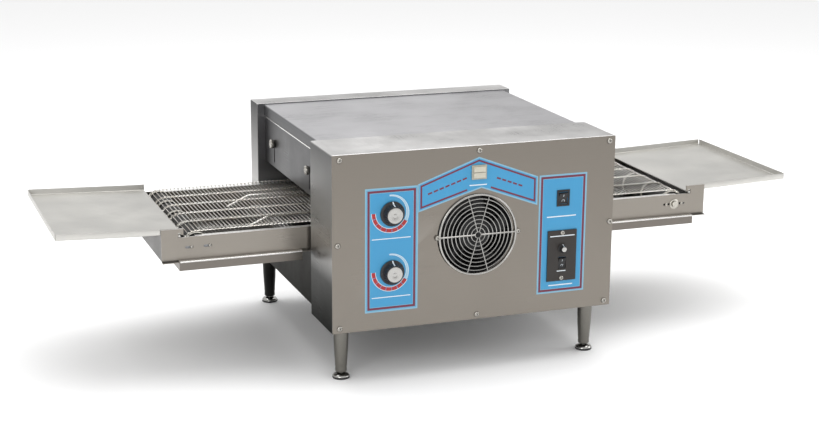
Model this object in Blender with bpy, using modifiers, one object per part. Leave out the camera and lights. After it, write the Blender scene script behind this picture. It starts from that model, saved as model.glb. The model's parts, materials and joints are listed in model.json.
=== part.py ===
"""Countertop conveyor pizza oven, built as an assembly of separate pieces.

Metres, +Z up.  The origin is on the floor, in the middle of the oven's length and depth.
The control panel faces -Y, and the belt runs along X through the baking tunnel.
Depths are counted back from the face of the control panel, and set_back() turns one into world Y.
"""

import math

import bpy
from mathutils import Matrix, Vector

# ---------------------------------------------------------------- overall sizes
BODY_LENGTH = 0.554
BODY_HEIGHT = 0.330
LEG_HEIGHT = 0.100
FRONT_BOX_DEPTH = 0.130
TUNNEL_WIDTH = 0.367
REAR_BOX_DEPTH = 0.052
CONVEYOR_LENGTH = 1.108
OVERALL_LENGTH = 1.485

# ---------------------------------------------------------------- fits and sheet
SEAT = 0.0003
RUN = 0.0004
SLIDE = 0.0010
SKIN = 0.0002
SHEET = 0.0015
BEND = 0.0030

# ---------------------------------------------------------------- casing
CHAMBER_INSET = 0.014
CHAMBER_DROP = 0.002
COVER_LIP = 0.021
CHAMBER_RISE = 0.001
TUNNEL_SILL = 0.118
TUNNEL_HEAD = 0.213
ROOF_HEIGHT = 0.285
ROOF_LIP = 0.014
VENT_LENGTH = 0.055
VENT_SETBACK = 0.030
VENT_WIDTH = 0.005
VENT_PITCH = 0.014
FLOOR_VENTS = 6
REAR_VENTS = 8
GLAND_X = 0.200
GLAND_HEIGHT = 0.050
GLAND_RADIUS = 0.0105
GLAND_PROUD = 0.016
GLAND_BORE = 0.0045
GLAND_NECK_RADIUS = 0.0078

# ---------------------------------------------------------------- legs
LEG_INSET_X = 0.030
LEG_INSET_FRONT = 0.044
LEG_INSET_REAR = 0.017
LEG_TOP_RADIUS = 0.0140
LEG_FOOT_RADIUS = 0.0112
LEG_TIP = 0.012
FOOT_RADIUS = 0.0162
FOOT_THICKNESS = 0.007
FOOT_STUD_RADIUS = 0.0050
FOOT_STUD_LENGTH = 0.024
FOOT_GAP = 0.006

# ---------------------------------------------------------------- gates
GATE_HEIGHT = 0.060
GATE_DROP = 0.035
GATE_SCREW_SETBACKS = (0.1885, 0.429)
GATE_SCREW_HEIGHT = 0.261
GATE_SCREW_RADIUS = 0.0025
GATE_HEAD_RADIUS = 0.0085
GATE_HEAD_LENGTH = 0.009

# ---------------------------------------------------------------- conveyor
PLATE_MARGIN = 0.0015
PLATE_FRONT_GAP = 0.011
PLATE_BOTTOM = 0.1207
PLATE_TOP = 0.166
PLATE_FLANGE = 0.010
FLANGE_END_GAP = 0.022
SLIDE_FLANGE = 0.0085
EAR_WIDTH = 0.041
EAR_HEIGHT = 0.016
NOTCH_RISE = 0.0085
HOOK_TIP = 0.0050
AXLE_HEIGHT = 0.1466
BELT_TOP = 0.172
BELT_MARGIN = 0.0120
BELT_THICKNESS = 0.0017
BELT_WINDOW = 0.046
BELT_WINDOW_PITCH = 0.062
BELT_WINDOW_ROWS = 2
BELT_STRIP = 0.016
END_AXLE_INSET = 0.0675
DRIVE_AXLE_X = 0.150
AXLE_RADIUS = 0.006
DRUM_SLEEVE_DROP = 0.0035
DRUM_RIM = 0.004
DRUM_RIMS = 5
DRUM_OVERHANG = 0.002
AXLE_PROUD = 0.006
DRIVE_WHEEL_WIDTH = 0.020
DRIVE_WHEEL_OFFSETS = (0.132, 0.040, -0.040, -0.132)
RAIL_RADIUS = 0.003
RAIL_GAP = 0.0008
RAIL_SPREAD = 0.080
RAIL_REACH = 0.325
RAIL_TAIL = 0.043
RAIL_TAIL_DROP = 0.0195
RAIL_BEND_LENGTH = 0.006
RAIL_BEND_DROP = 0.0008
CROSS_BAR_WIDTH = 0.012
CROSS_BAR_THICKNESS = 0.004
CROSS_BAR_X = 0.220
TAKE_UP_PITCH = 0.034
TAKE_UP_THICKNESS = 0.007
TAKE_UP_MARGIN = 0.004
TAKE_UP_SLOT = 0.0140
SLOT_WIDTH = 0.0045

# ---------------------------------------------------------------- trays
TRAY_SHEET = 0.0012
TRAY_FLANGE = 0.012
TRAY_TILT = math.radians(2.0)
TRAY_PIN_RADIUS = 0.002
TRAY_INNER_GAP = 0.0026
CRUMB_OUTER_INSET = 0.030
CRUMB_BODY_GAP = 0.016
CRUMB_DEPTH = 0.018

# ---------------------------------------------------------------- drive
MOTOR_RADIUS = 0.030
MOTOR_LENGTH = 0.060
GEARBOX = 0.066
GEARBOX_DEPTH = 0.030
MOTOR_WALL_GAP = 0.004
MOTOR_SHAFT_RADIUS = 0.0042
MOTOR_SHAFT_REACH = 0.0155
MOTOR_BURIED = 0.010
MOTOR_DROP = 0.078
MOTOR_SPROCKET_RADIUS = 0.014
SHAFT_SPROCKET_RADIUS = 0.021
SPROCKET_WIDTH = 0.003
CHAIN_THICKNESS = 0.006
CHAIN_WIDTH = 0.006
CHAIN_SETBACK = 0.110

# ---------------------------------------------------------------- heating
ELEMENT_RADIUS = 0.004
ELEMENT_BEND = 0.016
ELEMENT_LEGS = (-0.180, -0.060, 0.060, 0.180)
UPPER_ELEMENT_HEIGHT = 0.2615
LOWER_ELEMENT_HEIGHT = 0.070
ELEMENT_STUB = 0.020
ELEMENT_REAR_GAP = 0.025

# ---------------------------------------------------------------- fan
FAN_X = -0.0025
FAN_HEIGHT = 0.163
FAN_FRAME = 0.172
FAN_DEPTH = 0.051
FAN_CORNER = 0.010
FAN_DUCT_RADIUS = 0.074
FAN_BLADE_RADIUS = 0.0715
FAN_HUB_RADIUS = 0.034
FAN_FRONT_GAP = 0.008
FAN_BACK_GAP = 0.013
FAN_BLADES = 5
FAN_BLADE_ROOT = 0.029
FAN_BLADE_WIDTH = 0.025
FAN_BLADE_THICKNESS = 0.002
FAN_BLADE_PITCH = math.radians(38)
FAN_STRUTS = 3
FAN_STRUT_RADIUS = 0.0035
FAN_STRUT_BITE = 0.004
FAN_STRUT_LEAN = math.radians(22)
FAN_MOTOR_DEPTH = 0.010
GUARD_RADIUS = 0.0775
GUARD_WIRE = 0.0020
GUARD_RINGS = 9
GUARD_RING_GAP = 0.0080
GUARD_SPOKE_ANGLE = math.radians(16.0)
GUARD_SCREW_OFFSET = 0.0795
GUARD_TAB_RADIUS = 0.0045

# ---------------------------------------------------------------- controls
KNOB_X = -0.164
KNOB_HEIGHTS = {"upper": 0.216, "lower": 0.1064}
KNOB_RADIUS = 0.0230
KNOB_CAP_RADIUS = 0.0145
KNOB_DEPTH = 0.0165
KNOB_GAP = 0.0008
THERMOSTAT_RADIUS = 0.019
THERMOSTAT_DEPTH = 0.030
SHAFT_RADIUS = 0.003
SWITCH_X = 0.1726
SWITCH_HEIGHT = 0.2182
SWITCH_WIDTH = 0.0262
SWITCH_TALL = 0.0313
SWITCH_TILT = math.radians(12.0)
LAMP_X = 0.0025
LAMP_HEIGHT = 0.2803
LAMP_WIDTH = 0.0290
LAMP_TALL = 0.0265
LAMP_PROUD = 0.0060
SPEED_X = 0.1724
SPEED_HEIGHT = 0.1075
SPEED_WIDTH = 0.059
SPEED_TALL = 0.098
SPEED_PLATE = 0.0025
SPEED_CASE_DEPTH = 0.045
SPEED_KNOB_OFFSET = (0.0002, 0.0142)
SPEED_KNOB_RADIUS = 0.0085
SPEED_KNOB_CAP = 0.0048
SPEED_KNOB_DEPTH = 0.0095
SPEED_ROCKER_OFFSET = (0.0010, -0.0141)
SPEED_ROCKER_WIDTH = 0.0150
SPEED_ROCKER_TALL = 0.0225
BEZEL_LIP = 0.0025
BEZEL_PROUD = 0.0020
SWITCH_CASE_DEPTH = 0.022
ROCKER_WALL = 0.0012
ROCKER_POCKET = 0.012
ROCKER_PIVOT = 0.002
ROCKER_END = 0.0035
ROCKER_VALLEY = 0.0008
ROCKER_KEEL = 0.006
BURIED = 0.0005

# ---------------------------------------------------------------- worked out from the sizes above
BODY_DEPTH = FRONT_BOX_DEPTH + TUNNEL_WIDTH + REAR_BOX_DEPTH
FRONT_PROUD = max(KNOB_GAP + KNOB_DEPTH, SEAT + SPEED_PLATE + KNOB_GAP + SPEED_KNOB_DEPTH)
FACE_Y = -(BODY_DEPTH + GLAND_PROUD - FRONT_PROUD) / 2
HALF_BODY = BODY_LENGTH / 2
BODY_BOTTOM = LEG_HEIGHT
BODY_TOP = LEG_HEIGHT + BODY_HEIGHT
CHAMBER_HALF = HALF_BODY - CHAMBER_INSET
REAR_FACE = FRONT_BOX_DEPTH + TUNNEL_WIDTH
HALF_CONVEYOR = CONVEYOR_LENGTH / 2
PLATE_FRONT = FRONT_BOX_DEPTH + PLATE_FRONT_GAP
PLATE_REAR = REAR_FACE - PLATE_MARGIN
BELT_FRONT = PLATE_FRONT + SHEET + BELT_MARGIN
BELT_REAR = PLATE_REAR - SHEET - BELT_MARGIN
AXLE_Z = BODY_BOTTOM + AXLE_HEIGHT
BELT_OUTER_RADIUS = BELT_TOP - AXLE_HEIGHT
BELT_INNER_RADIUS = BELT_OUTER_RADIUS - BELT_THICKNESS
DRUM_RADIUS = BELT_INNER_RADIUS - SEAT
END_AXLE_X = HALF_CONVEYOR - END_AXLE_INSET
EAR_INNER_X = HALF_CONVEYOR - EAR_WIDTH
TRAY_PIN_X = EAR_INNER_X + HOOK_TIP + TRAY_PIN_RADIUS + RUN
TRAY_PIN_Z = BODY_BOTTOM + PLATE_TOP + TRAY_PIN_RADIUS + RUN
TRAY_SURFACE = TRAY_PIN_Z + TRAY_PIN_RADIUS + TRAY_SHEET - SEAT
TRAY_INNER_X = END_AXLE_X + BELT_OUTER_RADIUS + TRAY_INNER_GAP
SPROCKET_CENTRE = FRONT_BOX_DEPTH - SHEET - (FRONT_BOX_DEPTH - CHAIN_SETBACK) / 2
MOTOR_Z = AXLE_Z - MOTOR_DROP
GATE_X = CHAMBER_HALF - SHEET - SEAT - SHEET - SEAT
FAN_Z = BODY_BOTTOM + FAN_HEIGHT


def set_back(distance):
    """World Y of a point this far behind the control panel's face."""
    return FACE_Y + distance


# ---------------------------------------------------------------- scene and materials
def clear_scene():
    for old in list(bpy.data.objects):
        bpy.data.objects.remove(old, do_unlink=True)
    for old in list(bpy.data.collections):
        bpy.data.collections.remove(old)


def new_collection(name):
    made = bpy.data.collections.new(name)
    bpy.context.scene.collection.children.link(made)
    return made


def material(name, colour, roughness, metallic):
    made = bpy.data.materials.new(name)
    made.use_nodes = True
    shader = made.node_tree.nodes["Principled BSDF"]
    shader.inputs["Base Color"].default_value = (*colour, 1.0)
    shader.inputs["Roughness"].default_value = roughness
    shader.inputs["Metallic"].default_value = metallic
    return made


clear_scene()
OVEN = new_collection("countertop_conveyor_oven")
MATERIALS = {
    "steel": material("brushed_stainless", (0.52, 0.50, 0.48), 0.34, 1.0),
    "tray": material("satin_stainless", (0.70, 0.70, 0.68), 0.40, 1.0),
    "bright": material("polished_steel", (0.75, 0.75, 0.75), 0.15, 1.0),
    "wire": material("belt_wire", (0.58, 0.56, 0.53), 0.30, 1.0),
    "liner": material("aluminised_steel", (0.45, 0.45, 0.46), 0.45, 1.0),
    "wool": material("ceramic_wool", (0.82, 0.80, 0.74), 0.95, 0.0),
    "element": material("element_sheath", (0.20, 0.19, 0.18), 0.45, 0.8),
    "black": material("black_plastic", (0.02, 0.02, 0.02), 0.35, 0.0),
    "brown": material("dark_moulding", (0.05, 0.04, 0.035), 0.40, 0.0),
    "ivory": material("ivory_plastic", (0.78, 0.76, 0.66), 0.35, 0.0),
    "motor": material("motor_grey", (0.25, 0.26, 0.27), 0.50, 0.3),
    "drum": material("drum_steel", (0.12, 0.12, 0.12), 0.45, 0.8),
}


# ---------------------------------------------------------------- shared modelling steps
def keep(piece, name, finish, origin=None):
    """Name the piece, give it its material and put its origin on its joint."""
    piece.name = name
    piece.data.name = name
    piece.data.materials.clear()
    piece.data.materials.append(MATERIALS[finish])
    if origin is not None:
        point = Vector(origin)
        piece.data.transform(Matrix.Translation(-point))
        piece.location = point
    for owner in list(piece.users_collection):
        owner.objects.unlink(piece)
    OVEN.objects.link(piece)
    return piece


def settle(piece):
    """Replace the piece by its evaluated mesh in world space, with every seam welded."""
    bpy.context.view_layer.update()
    graph = bpy.context.evaluated_depsgraph_get()
    mesh = bpy.data.meshes.new_from_object(piece.evaluated_get(graph))
    mesh.transform(piece.matrix_world)
    solid = bpy.data.objects.new(piece.name, mesh)
    bpy.context.scene.collection.objects.link(solid)
    bpy.data.objects.remove(piece, do_unlink=True)
    weld = solid.modifiers.new("Weld", 'WELD')
    weld.merge_threshold = 0.00001
    graph = bpy.context.evaluated_depsgraph_get()
    welded = bpy.data.meshes.new_from_object(solid.evaluated_get(graph))
    solid.modifiers.clear()
    solid.data = welded
    return solid


def combine(piece, other, operation):
    """Cut the other solid from the piece, or join it on, and use it up."""
    step = piece.modifiers.new("Boolean", 'BOOLEAN')
    step.operation = operation
    step.solver = 'EXACT'
    step.object = other
    solid = settle(piece)
    bpy.data.objects.remove(other, do_unlink=True)
    return solid


def cut(piece, *tools):
    for tool in tools:
        piece = combine(piece, tool, 'DIFFERENCE')
    return piece


def join(piece, *others):
    for other in others:
        piece = combine(piece, other, 'UNION')
    return piece


def block(low, high):
    bpy.ops.mesh.primitive_cube_add(size=1.0)
    made = bpy.context.object
    size = [top - bottom for bottom, top in zip(low, high)]
    middle = [(top + bottom) / 2 for bottom, top in zip(low, high)]
    made.data.transform(Matrix.Translation(middle) @ Matrix.Diagonal((*size, 1.0)))
    return made


def gather(pieces):
    """Put several separate solids into one object, to cut with all of them at once."""
    if len(pieces) == 1:
        return pieces[0]
    bpy.ops.object.select_all(action='DESELECT')
    for piece in pieces:
        piece.select_set(True)
    bpy.context.view_layer.objects.active = pieces[0]
    bpy.ops.object.join()
    return pieces[0]


def blocks(boxes):
    """One cutter made of several blocks that stand apart."""
    return gather([block(low, high) for low, high in boxes])


def rod(radius, start, end, sides=20):
    run = Vector(end) - Vector(start)
    bpy.ops.mesh.primitive_cylinder_add(vertices=sides, radius=radius, depth=run.length)
    made = bpy.context.object
    turn = Vector((0, 0, 1)).rotation_difference(run.normalized()).to_matrix().to_4x4()
    made.data.transform(Matrix.Translation((Vector(start) + Vector(end)) / 2) @ turn)
    return made


def rods(radius, ends, sides=20):
    """One cutter made of several rods that stand apart."""
    return gather([rod(radius, start, end, sides) for start, end in ends])


def turned(profile, base, direction, steps=24, ring=False):
    """Spin a profile of (radius, height) points, listed from the top down the outside."""
    mesh = bpy.data.meshes.new("profile")
    count = len(profile)
    edges = [(i, i + 1) for i in range(count - 1)]
    if ring:
        edges.append((count - 1, 0))
    mesh.from_pydata([(radius, 0.0, height) for radius, height in profile], edges, [])
    made = bpy.data.objects.new("turned", mesh)
    bpy.context.scene.collection.objects.link(made)
    screw = made.modifiers.new("Screw", 'SCREW')
    screw.steps = steps
    screw.render_steps = steps
    screw.use_merge_vertices = True
    screw.merge_threshold = 0.00001
    turn = Vector((0, 0, 1)).rotation_difference(Vector(direction)).to_matrix().to_4x4()
    made.matrix_world = Matrix.Translation(base) @ turn
    return settle(made)


def rounded(corners, segments=4):
    """Points round a closed outline whose corners are (u, v, fillet radius)."""
    points = []
    count = len(corners)
    for index, (u, v, radius) in enumerate(corners):
        here = Vector((u, v))
        if radius <= 0:
            points.append((u, v))
            continue
        before = Vector(corners[index - 1][:2]) - here
        after = Vector(corners[(index + 1) % count][:2]) - here
        half = before.angle(after) / 2
        reach = radius / math.tan(half)
        start = here + before.normalized() * reach
        end = here + after.normalized() * reach
        centre = here + (before.normalized() + after.normalized()).normalized() * (radius / math.sin(half))
        swing = (start - centre).angle_signed(end - centre)
        for step in range(segments + 1):
            spoke = start - centre
            spoke.rotate(Matrix.Rotation(-swing * step / segments, 2))
            points.append(tuple(centre + spoke))
    return points


def circle(u, v, radius, sides=24):
    angles = [2 * math.pi * step / sides for step in range(sides)]
    return [(u + radius * math.cos(angle), v + radius * math.sin(angle)) for angle in angles]


def rectangle(u0, v0, u1, v1):
    return [(u0, v0), (u1, v0), (u1, v1), (u0, v1)]


def slot(u, v, length, width):
    """A round-ended slot along u."""
    fillet = width * 0.46
    left, right = u - length / 2, u + length / 2
    low, high = v - width / 2, v + width / 2
    return rounded([(left, low, fillet), (right, low, fillet), (right, high, fillet), (left, high, fillet)], 3)


FACING_FRONT = Matrix(((1, 0, 0, 0), (0, 0, -1, 0), (0, 1, 0, 0), (0, 0, 0, 1)))
FACING_SIDE = Matrix(((0, 0, 1, 0), (1, 0, 0, 0), (0, 1, 0, 0), (0, 0, 0, 1)))


def sheet(loops, facing, start, end):
    """Extrude flat outlines from start to end along the facing's own axis; inner loops are holes."""
    curve = bpy.data.curves.new("outline", 'CURVE')
    curve.dimensions = '2D'
    curve.fill_mode = 'BOTH'
    curve.extrude = abs(end - start) / 2
    for loop in loops:
        spline = curve.splines.new('POLY')
        spline.points.add(len(loop) - 1)
        for point, (u, v) in zip(spline.points, loop):
            point.co = (u, v, 0.0, 1.0)
        spline.use_cyclic_u = True
    made = bpy.data.objects.new("outline", curve)
    bpy.context.scene.collection.objects.link(made)
    middle = (start + end) / 2
    along = facing.to_3x3() @ Vector((0, 0, 1))
    sign = 1 if max(along, key=abs) > 0 else -1
    made.matrix_world = Matrix.Translation(along * sign * middle) @ facing
    return settle(made)


def bent_wire(points, radius, closed=False):
    """A round wire through the points, with flat ends."""
    curve = bpy.data.curves.new("wire", 'CURVE')
    curve.dimensions = '3D'
    curve.bevel_depth = radius
    curve.bevel_resolution = 2
    curve.use_fill_caps = True
    spline = curve.splines.new('POLY')
    spline.points.add(len(points) - 1)
    for point, place in zip(spline.points, points):
        point.co = (*place, 1.0)
    spline.use_cyclic_u = closed
    made = bpy.data.objects.new("wire", curve)
    bpy.context.scene.collection.objects.link(made)
    return settle(made)


# ---------------------------------------------------------------- casing
def guard_screw_places():
    return [FAN_X - GUARD_SCREW_OFFSET, FAN_X + GUARD_SCREW_OFFSET]


def opening(x, height, width, tall):
    """A rectangle centred on the panel at this height above the body's bottom."""
    z = BODY_BOTTOM + height
    return rectangle(x - width / 2, z - tall / 2, x + width / 2, z + tall / 2)


def front_panel():
    switch = opening(SWITCH_X, SWITCH_HEIGHT, SWITCH_WIDTH - 2 * BEZEL_LIP, SWITCH_TALL - 2 * BEZEL_LIP)
    lamp = opening(LAMP_X, LAMP_HEIGHT, LAMP_WIDTH - 2 * BEZEL_LIP, LAMP_TALL - 2 * BEZEL_LIP)
    speed = opening(SPEED_X, SPEED_HEIGHT, SPEED_WIDTH - 4 * BEZEL_LIP, SPEED_TALL - 8 * BEZEL_LIP)
    shafts = [circle(KNOB_X, BODY_BOTTOM + height, 2 * SHAFT_RADIUS) for height in KNOB_HEIGHTS.values()]
    duct = circle(FAN_X, FAN_Z, FAN_DUCT_RADIUS, 40)
    face = rectangle(-HALF_BODY, BODY_BOTTOM, HALF_BODY, BODY_TOP)
    plate = sheet([face, switch, lamp, speed, duct, *shafts], FACING_FRONT, FACE_Y, set_back(SHEET))
    keep(plate, "front_panel", "steel")


def front_box_cover():
    inner = HALF_BODY - SHEET
    loop = rounded([(-HALF_BODY, BODY_BOTTOM, 0), (-HALF_BODY, BODY_TOP, BEND), (HALF_BODY, BODY_TOP, BEND),
                    (HALF_BODY, BODY_BOTTOM, 0), (inner, BODY_BOTTOM, 0), (inner, BODY_TOP - SHEET, BEND - SHEET),
                    (-inner, BODY_TOP - SHEET, BEND - SHEET), (-inner, BODY_BOTTOM, 0)])
    cover = sheet([loop], FACING_FRONT, set_back(SHEET + SEAT), set_back(FRONT_BOX_DEPTH))
    keep(cover, "front_box_cover", "steel")


def control_bulkhead():
    """Back wall and floor of the control box, bent from one sheet."""
    half = HALF_BODY - SHEET - SEAT
    wall_low = set_back(FRONT_BOX_DEPTH - SHEET)
    wall_high = set_back(FRONT_BOX_DEPTH)
    floor_front = set_back(SHEET + SEAT)
    top = BODY_TOP - BEND
    loop = [(floor_front, BODY_BOTTOM), (wall_high, BODY_BOTTOM), (wall_high, top), (wall_low, top),
            (wall_low, BODY_BOTTOM + SHEET), (floor_front, BODY_BOTTOM + SHEET)]
    tray = sheet([loop], FACING_SIDE, -half, half)
    through = (set_back(FRONT_BOX_DEPTH - 5 * SHEET), set_back(FRONT_BOX_DEPTH + 5 * SHEET))
    shaft_hole = rod(AXLE_RADIUS + RUN, (DRIVE_AXLE_X, through[0], AXLE_Z), (DRIVE_AXLE_X, through[1], AXLE_Z))
    ends = [(x, BODY_BOTTOM + z) for x in (ELEMENT_LEGS[0], ELEMENT_LEGS[-1])
            for z in (UPPER_ELEMENT_HEIGHT, LOWER_ELEMENT_HEIGHT)]
    glands = rods(ELEMENT_RADIUS + SEAT, [((x, through[0], z), (x, through[1], z)) for x, z in ends], 16)
    vents = []
    for side in (-1, 1):
        for index in range(FLOOR_VENTS):
            x = side * (HALF_BODY / 2) + (index - (FLOOR_VENTS - 1) / 2) * VENT_PITCH
            vents.append(((x - VENT_WIDTH / 2, set_back(VENT_SETBACK), BODY_BOTTOM - SHEET),
                          (x + VENT_WIDTH / 2, set_back(VENT_SETBACK + VENT_LENGTH), BODY_BOTTOM + 2 * SHEET)))
    tray = cut(tray, shaft_hole, glands, blocks(vents))
    keep(tray, "control_bulkhead", "liner")


def rear_box_cover():
    """Back cover: a pan with its open side against the rear bulkhead."""
    front = set_back(REAR_FACE + SHEET + SEAT)
    back = set_back(BODY_DEPTH)
    pan = block((-HALF_BODY, front, BODY_BOTTOM), (HALF_BODY, back, BODY_TOP))
    room = block((-HALF_BODY + SHEET, front - SHEET, BODY_BOTTOM + SHEET),
                 (HALF_BODY - SHEET, back - SHEET, BODY_TOP - SHEET))
    vents = []
    for index in range(REAR_VENTS):
        z = BODY_BOTTOM + BODY_HEIGHT / 2 + (index - (REAR_VENTS - 1) / 2) * VENT_PITCH
        for x in (-HALF_BODY / 2, 0.0, HALF_BODY / 2):
            vents.append(((x - VENT_LENGTH / 2, back - 2 * SHEET, z - VENT_WIDTH / 2),
                          (x + VENT_LENGTH / 2, back + SHEET, z + VENT_WIDTH / 2)))
    z = BODY_BOTTOM + GLAND_HEIGHT
    hole = rod(GLAND_NECK_RADIUS + SEAT, (GLAND_X, back - 2 * SHEET, z), (GLAND_X, back + SHEET, z))
    pan = cut(pan, room, blocks(vents), hole)
    keep(pan, "rear_box_cover", "steel")


def rear_bulkhead():
    face = rectangle(-HALF_BODY, BODY_BOTTOM, HALF_BODY, BODY_TOP)
    wall = sheet([face], FACING_FRONT, set_back(REAR_FACE), set_back(REAR_FACE + SHEET))
    keep(wall, "rear_bulkhead", "steel")


def chamber_span():
    return set_back(FRONT_BOX_DEPTH + SEAT), set_back(REAR_FACE - SEAT)


def top_cover():
    top = BODY_TOP - CHAMBER_DROP
    low = top - COVER_LIP
    half = CHAMBER_HALF
    inner = half - SHEET
    loop = rounded([(-half, low, 0), (-half, top, BEND), (half, top, BEND), (half, low, 0), (inner, low, 0),
                    (inner, top - SHEET, BEND - SHEET), (-inner, top - SHEET, BEND - SHEET), (-inner, low, 0)])
    cover = sheet([loop], FACING_FRONT, *chamber_span())
    keep(cover, "top_cover", "steel")


def chamber_roof():
    top = BODY_BOTTOM + ROOF_HEIGHT
    half = GATE_X - SHEET - SLIDE
    inner = half - SHEET
    loop = [(-half, top - ROOF_LIP), (-half, top), (half, top), (half, top - ROOF_LIP), (inner, top - ROOF_LIP),
            (inner, top - SHEET), (-inner, top - SHEET), (-inner, top - ROOF_LIP)]
    keep(sheet([loop], FACING_FRONT, *chamber_span()), "chamber_roof", "liner")


def insulation_blanket():
    front, back = chamber_span()
    half = GATE_X - SHEET - SLIDE
    wool = block((-half, front + SLIDE, BODY_BOTTOM + ROOF_HEIGHT + SEAT),
                 (half, back - SLIDE, BODY_TOP - CHAMBER_DROP - SHEET - SEAT))
    keep(wool, "insulation_blanket", "wool")


def chamber_floor():
    """Bottom of the baking chamber, with its ends bent up to the sill of the tunnel."""
    low = BODY_BOTTOM + CHAMBER_RISE
    sill = BODY_BOTTOM + TUNNEL_SILL
    half = CHAMBER_HALF
    inner = half - SHEET
    loop = rounded([(-half, low, BEND), (half, low, BEND), (half, sill, 0), (inner, sill, 0),
                    (inner, low + SHEET, BEND - SHEET), (-inner, low + SHEET, BEND - SHEET),
                    (-inner, sill, 0), (-half, sill, 0)])
    keep(sheet([loop], FACING_FRONT, *chamber_span()), "chamber_floor", "steel")


def end_wall(side, name):
    """Wall over the tunnel mouth, slotted for the two gate screws."""
    outer = side * (CHAMBER_HALF - SHEET - SEAT)
    inner = outer - side * SHEET
    front, back = chamber_span()
    face = rectangle(front, BODY_BOTTOM + TUNNEL_HEAD, back, BODY_TOP - CHAMBER_DROP - BEND)
    loops = [face]
    width = 2 * (GATE_SCREW_RADIUS + SEAT)
    for distance in GATE_SCREW_SETBACKS:
        low = BODY_BOTTOM + GATE_SCREW_HEIGHT - GATE_DROP - width / 2
        high = BODY_BOTTOM + GATE_SCREW_HEIGHT + width / 2
        y = set_back(distance)
        loops.append(rectangle(y - width / 2, low, y + width / 2, high))
    keep(sheet(loops, FACING_SIDE, min(outer, inner), max(outer, inner)), name, "steel")


def gate(side, name):
    outer = side * GATE_X
    inner = outer - side * SHEET
    front, back = chamber_span()
    low = BODY_BOTTOM + TUNNEL_HEAD + SEAT
    face = rectangle(front + SLIDE, low, back - SLIDE, low + GATE_HEIGHT)
    loops = [face]
    for distance in GATE_SCREW_SETBACKS:
        loops.append(circle(set_back(distance), BODY_BOTTOM + GATE_SCREW_HEIGHT, GATE_SCREW_RADIUS + SEAT, 16))
    keep(sheet(loops, FACING_SIDE, min(outer, inner), max(outer, inner)), name, "steel")


def gate_screw(side, distance, name):
    """Thumb screw: knurled head outside the wall, shank through the slot and the gate."""
    wall = CHAMBER_HALF - SHEET - SEAT
    shank = wall - GATE_X + 3 * SHEET
    head = GATE_HEAD_LENGTH
    rim = GATE_HEAD_RADIUS
    neck = rim * 0.6
    profile = [(0, head), (rim * 0.9, head), (rim, head * 0.9), (rim, head * 0.35), (neck, head * 0.3), (neck, 0),
               (GATE_SCREW_RADIUS, 0), (GATE_SCREW_RADIUS, -shank), (0, -shank)]
    place = (side * (wall + SEAT), set_back(distance), BODY_BOTTOM + GATE_SCREW_HEIGHT)
    screw = turned(profile, place, (side, 0, 0), 12)
    keep(screw, name, "bright", place)


def cable_gland():
    back = set_back(BODY_DEPTH)
    neck = GLAND_NECK_RADIUS
    profile = [(GLAND_BORE, GLAND_PROUD), (GLAND_RADIUS * 0.7, GLAND_PROUD), (GLAND_RADIUS, GLAND_PROUD * 0.7),
               (GLAND_RADIUS, SEAT), (neck, SEAT), (neck, -3 * SHEET), (GLAND_BORE, -3 * SHEET)]
    gland = turned(profile, (GLAND_X, back, BODY_BOTTOM + GLAND_HEIGHT), (0, 1, 0), 16, ring=True)
    keep(gland, "cable_gland", "black")


# ---------------------------------------------------------------- legs
def leg_places():
    front = set_back(LEG_INSET_FRONT)
    rear = set_back(BODY_DEPTH - LEG_INSET_REAR)
    x = HALF_BODY - LEG_INSET_X
    return {"front_left": (-x, front), "front_right": (x, front), "rear_left": (-x, rear), "rear_right": (x, rear)}


def leg(place, name):
    x, y = place
    top = BODY_BOTTOM - SEAT
    low = FOOT_THICKNESS + FOOT_GAP
    bore = FOOT_STUD_RADIUS + SEAT
    depth = low + FOOT_STUD_LENGTH
    profile = [(0, top), (LEG_TOP_RADIUS, top), (LEG_FOOT_RADIUS, low + LEG_TIP), (LEG_FOOT_RADIUS * 0.92, low),
               (bore, low), (bore, depth), (0, depth)]
    keep(turned(profile, (x, y, 0), (0, 0, 1), 16), name, "bright")


def foot(place, name):
    x, y = place
    stud = FOOT_THICKNESS + FOOT_GAP + FOOT_STUD_LENGTH - SLIDE
    profile = [(0, stud), (FOOT_STUD_RADIUS, stud), (FOOT_STUD_RADIUS, FOOT_THICKNESS + 0.003),
               (FOOT_STUD_RADIUS * 1.7, FOOT_THICKNESS + 0.0015), (FOOT_RADIUS * 0.9, FOOT_THICKNESS),
               (FOOT_RADIUS, FOOT_THICKNESS - 0.002), (FOOT_RADIUS, 0.001), (FOOT_RADIUS * 0.94, 0), (0, 0)]
    keep(turned(profile, (x, y, 0), (0, 0, 1), 16), name, "bright", (x, y, 0))


# ---------------------------------------------------------------- conveyor frame
def plate_outline():
    """Side plate seen from the front: a long strip with an ear at each end.

    Each ear has a J notch for a tray's pin: in from the belt's side, then up behind a hook.
    """
    low = BODY_BOTTOM + PLATE_BOTTOM
    top = BODY_BOTTOM + PLATE_TOP
    ear = top + EAR_HEIGHT
    mouth = TRAY_PIN_Z + TRAY_PIN_RADIUS + RUN
    notch_top = top + NOTCH_RISE
    hook_in = EAR_INNER_X + HOOK_TIP
    hook_out = hook_in + 2 * (TRAY_PIN_RADIUS + RUN)
    right = [(HALF_CONVEYOR, low), (HALF_CONVEYOR, ear), (EAR_INNER_X, ear), (EAR_INNER_X, mouth), (hook_in, mouth),
             (hook_in, notch_top), (hook_out, notch_top), (hook_out, top - RUN),
             (EAR_INNER_X - RUN, top - RUN), (EAR_INNER_X - RUN, top)]
    left = [(-x, z) for x, z in reversed(right)]
    return right + left


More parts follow.
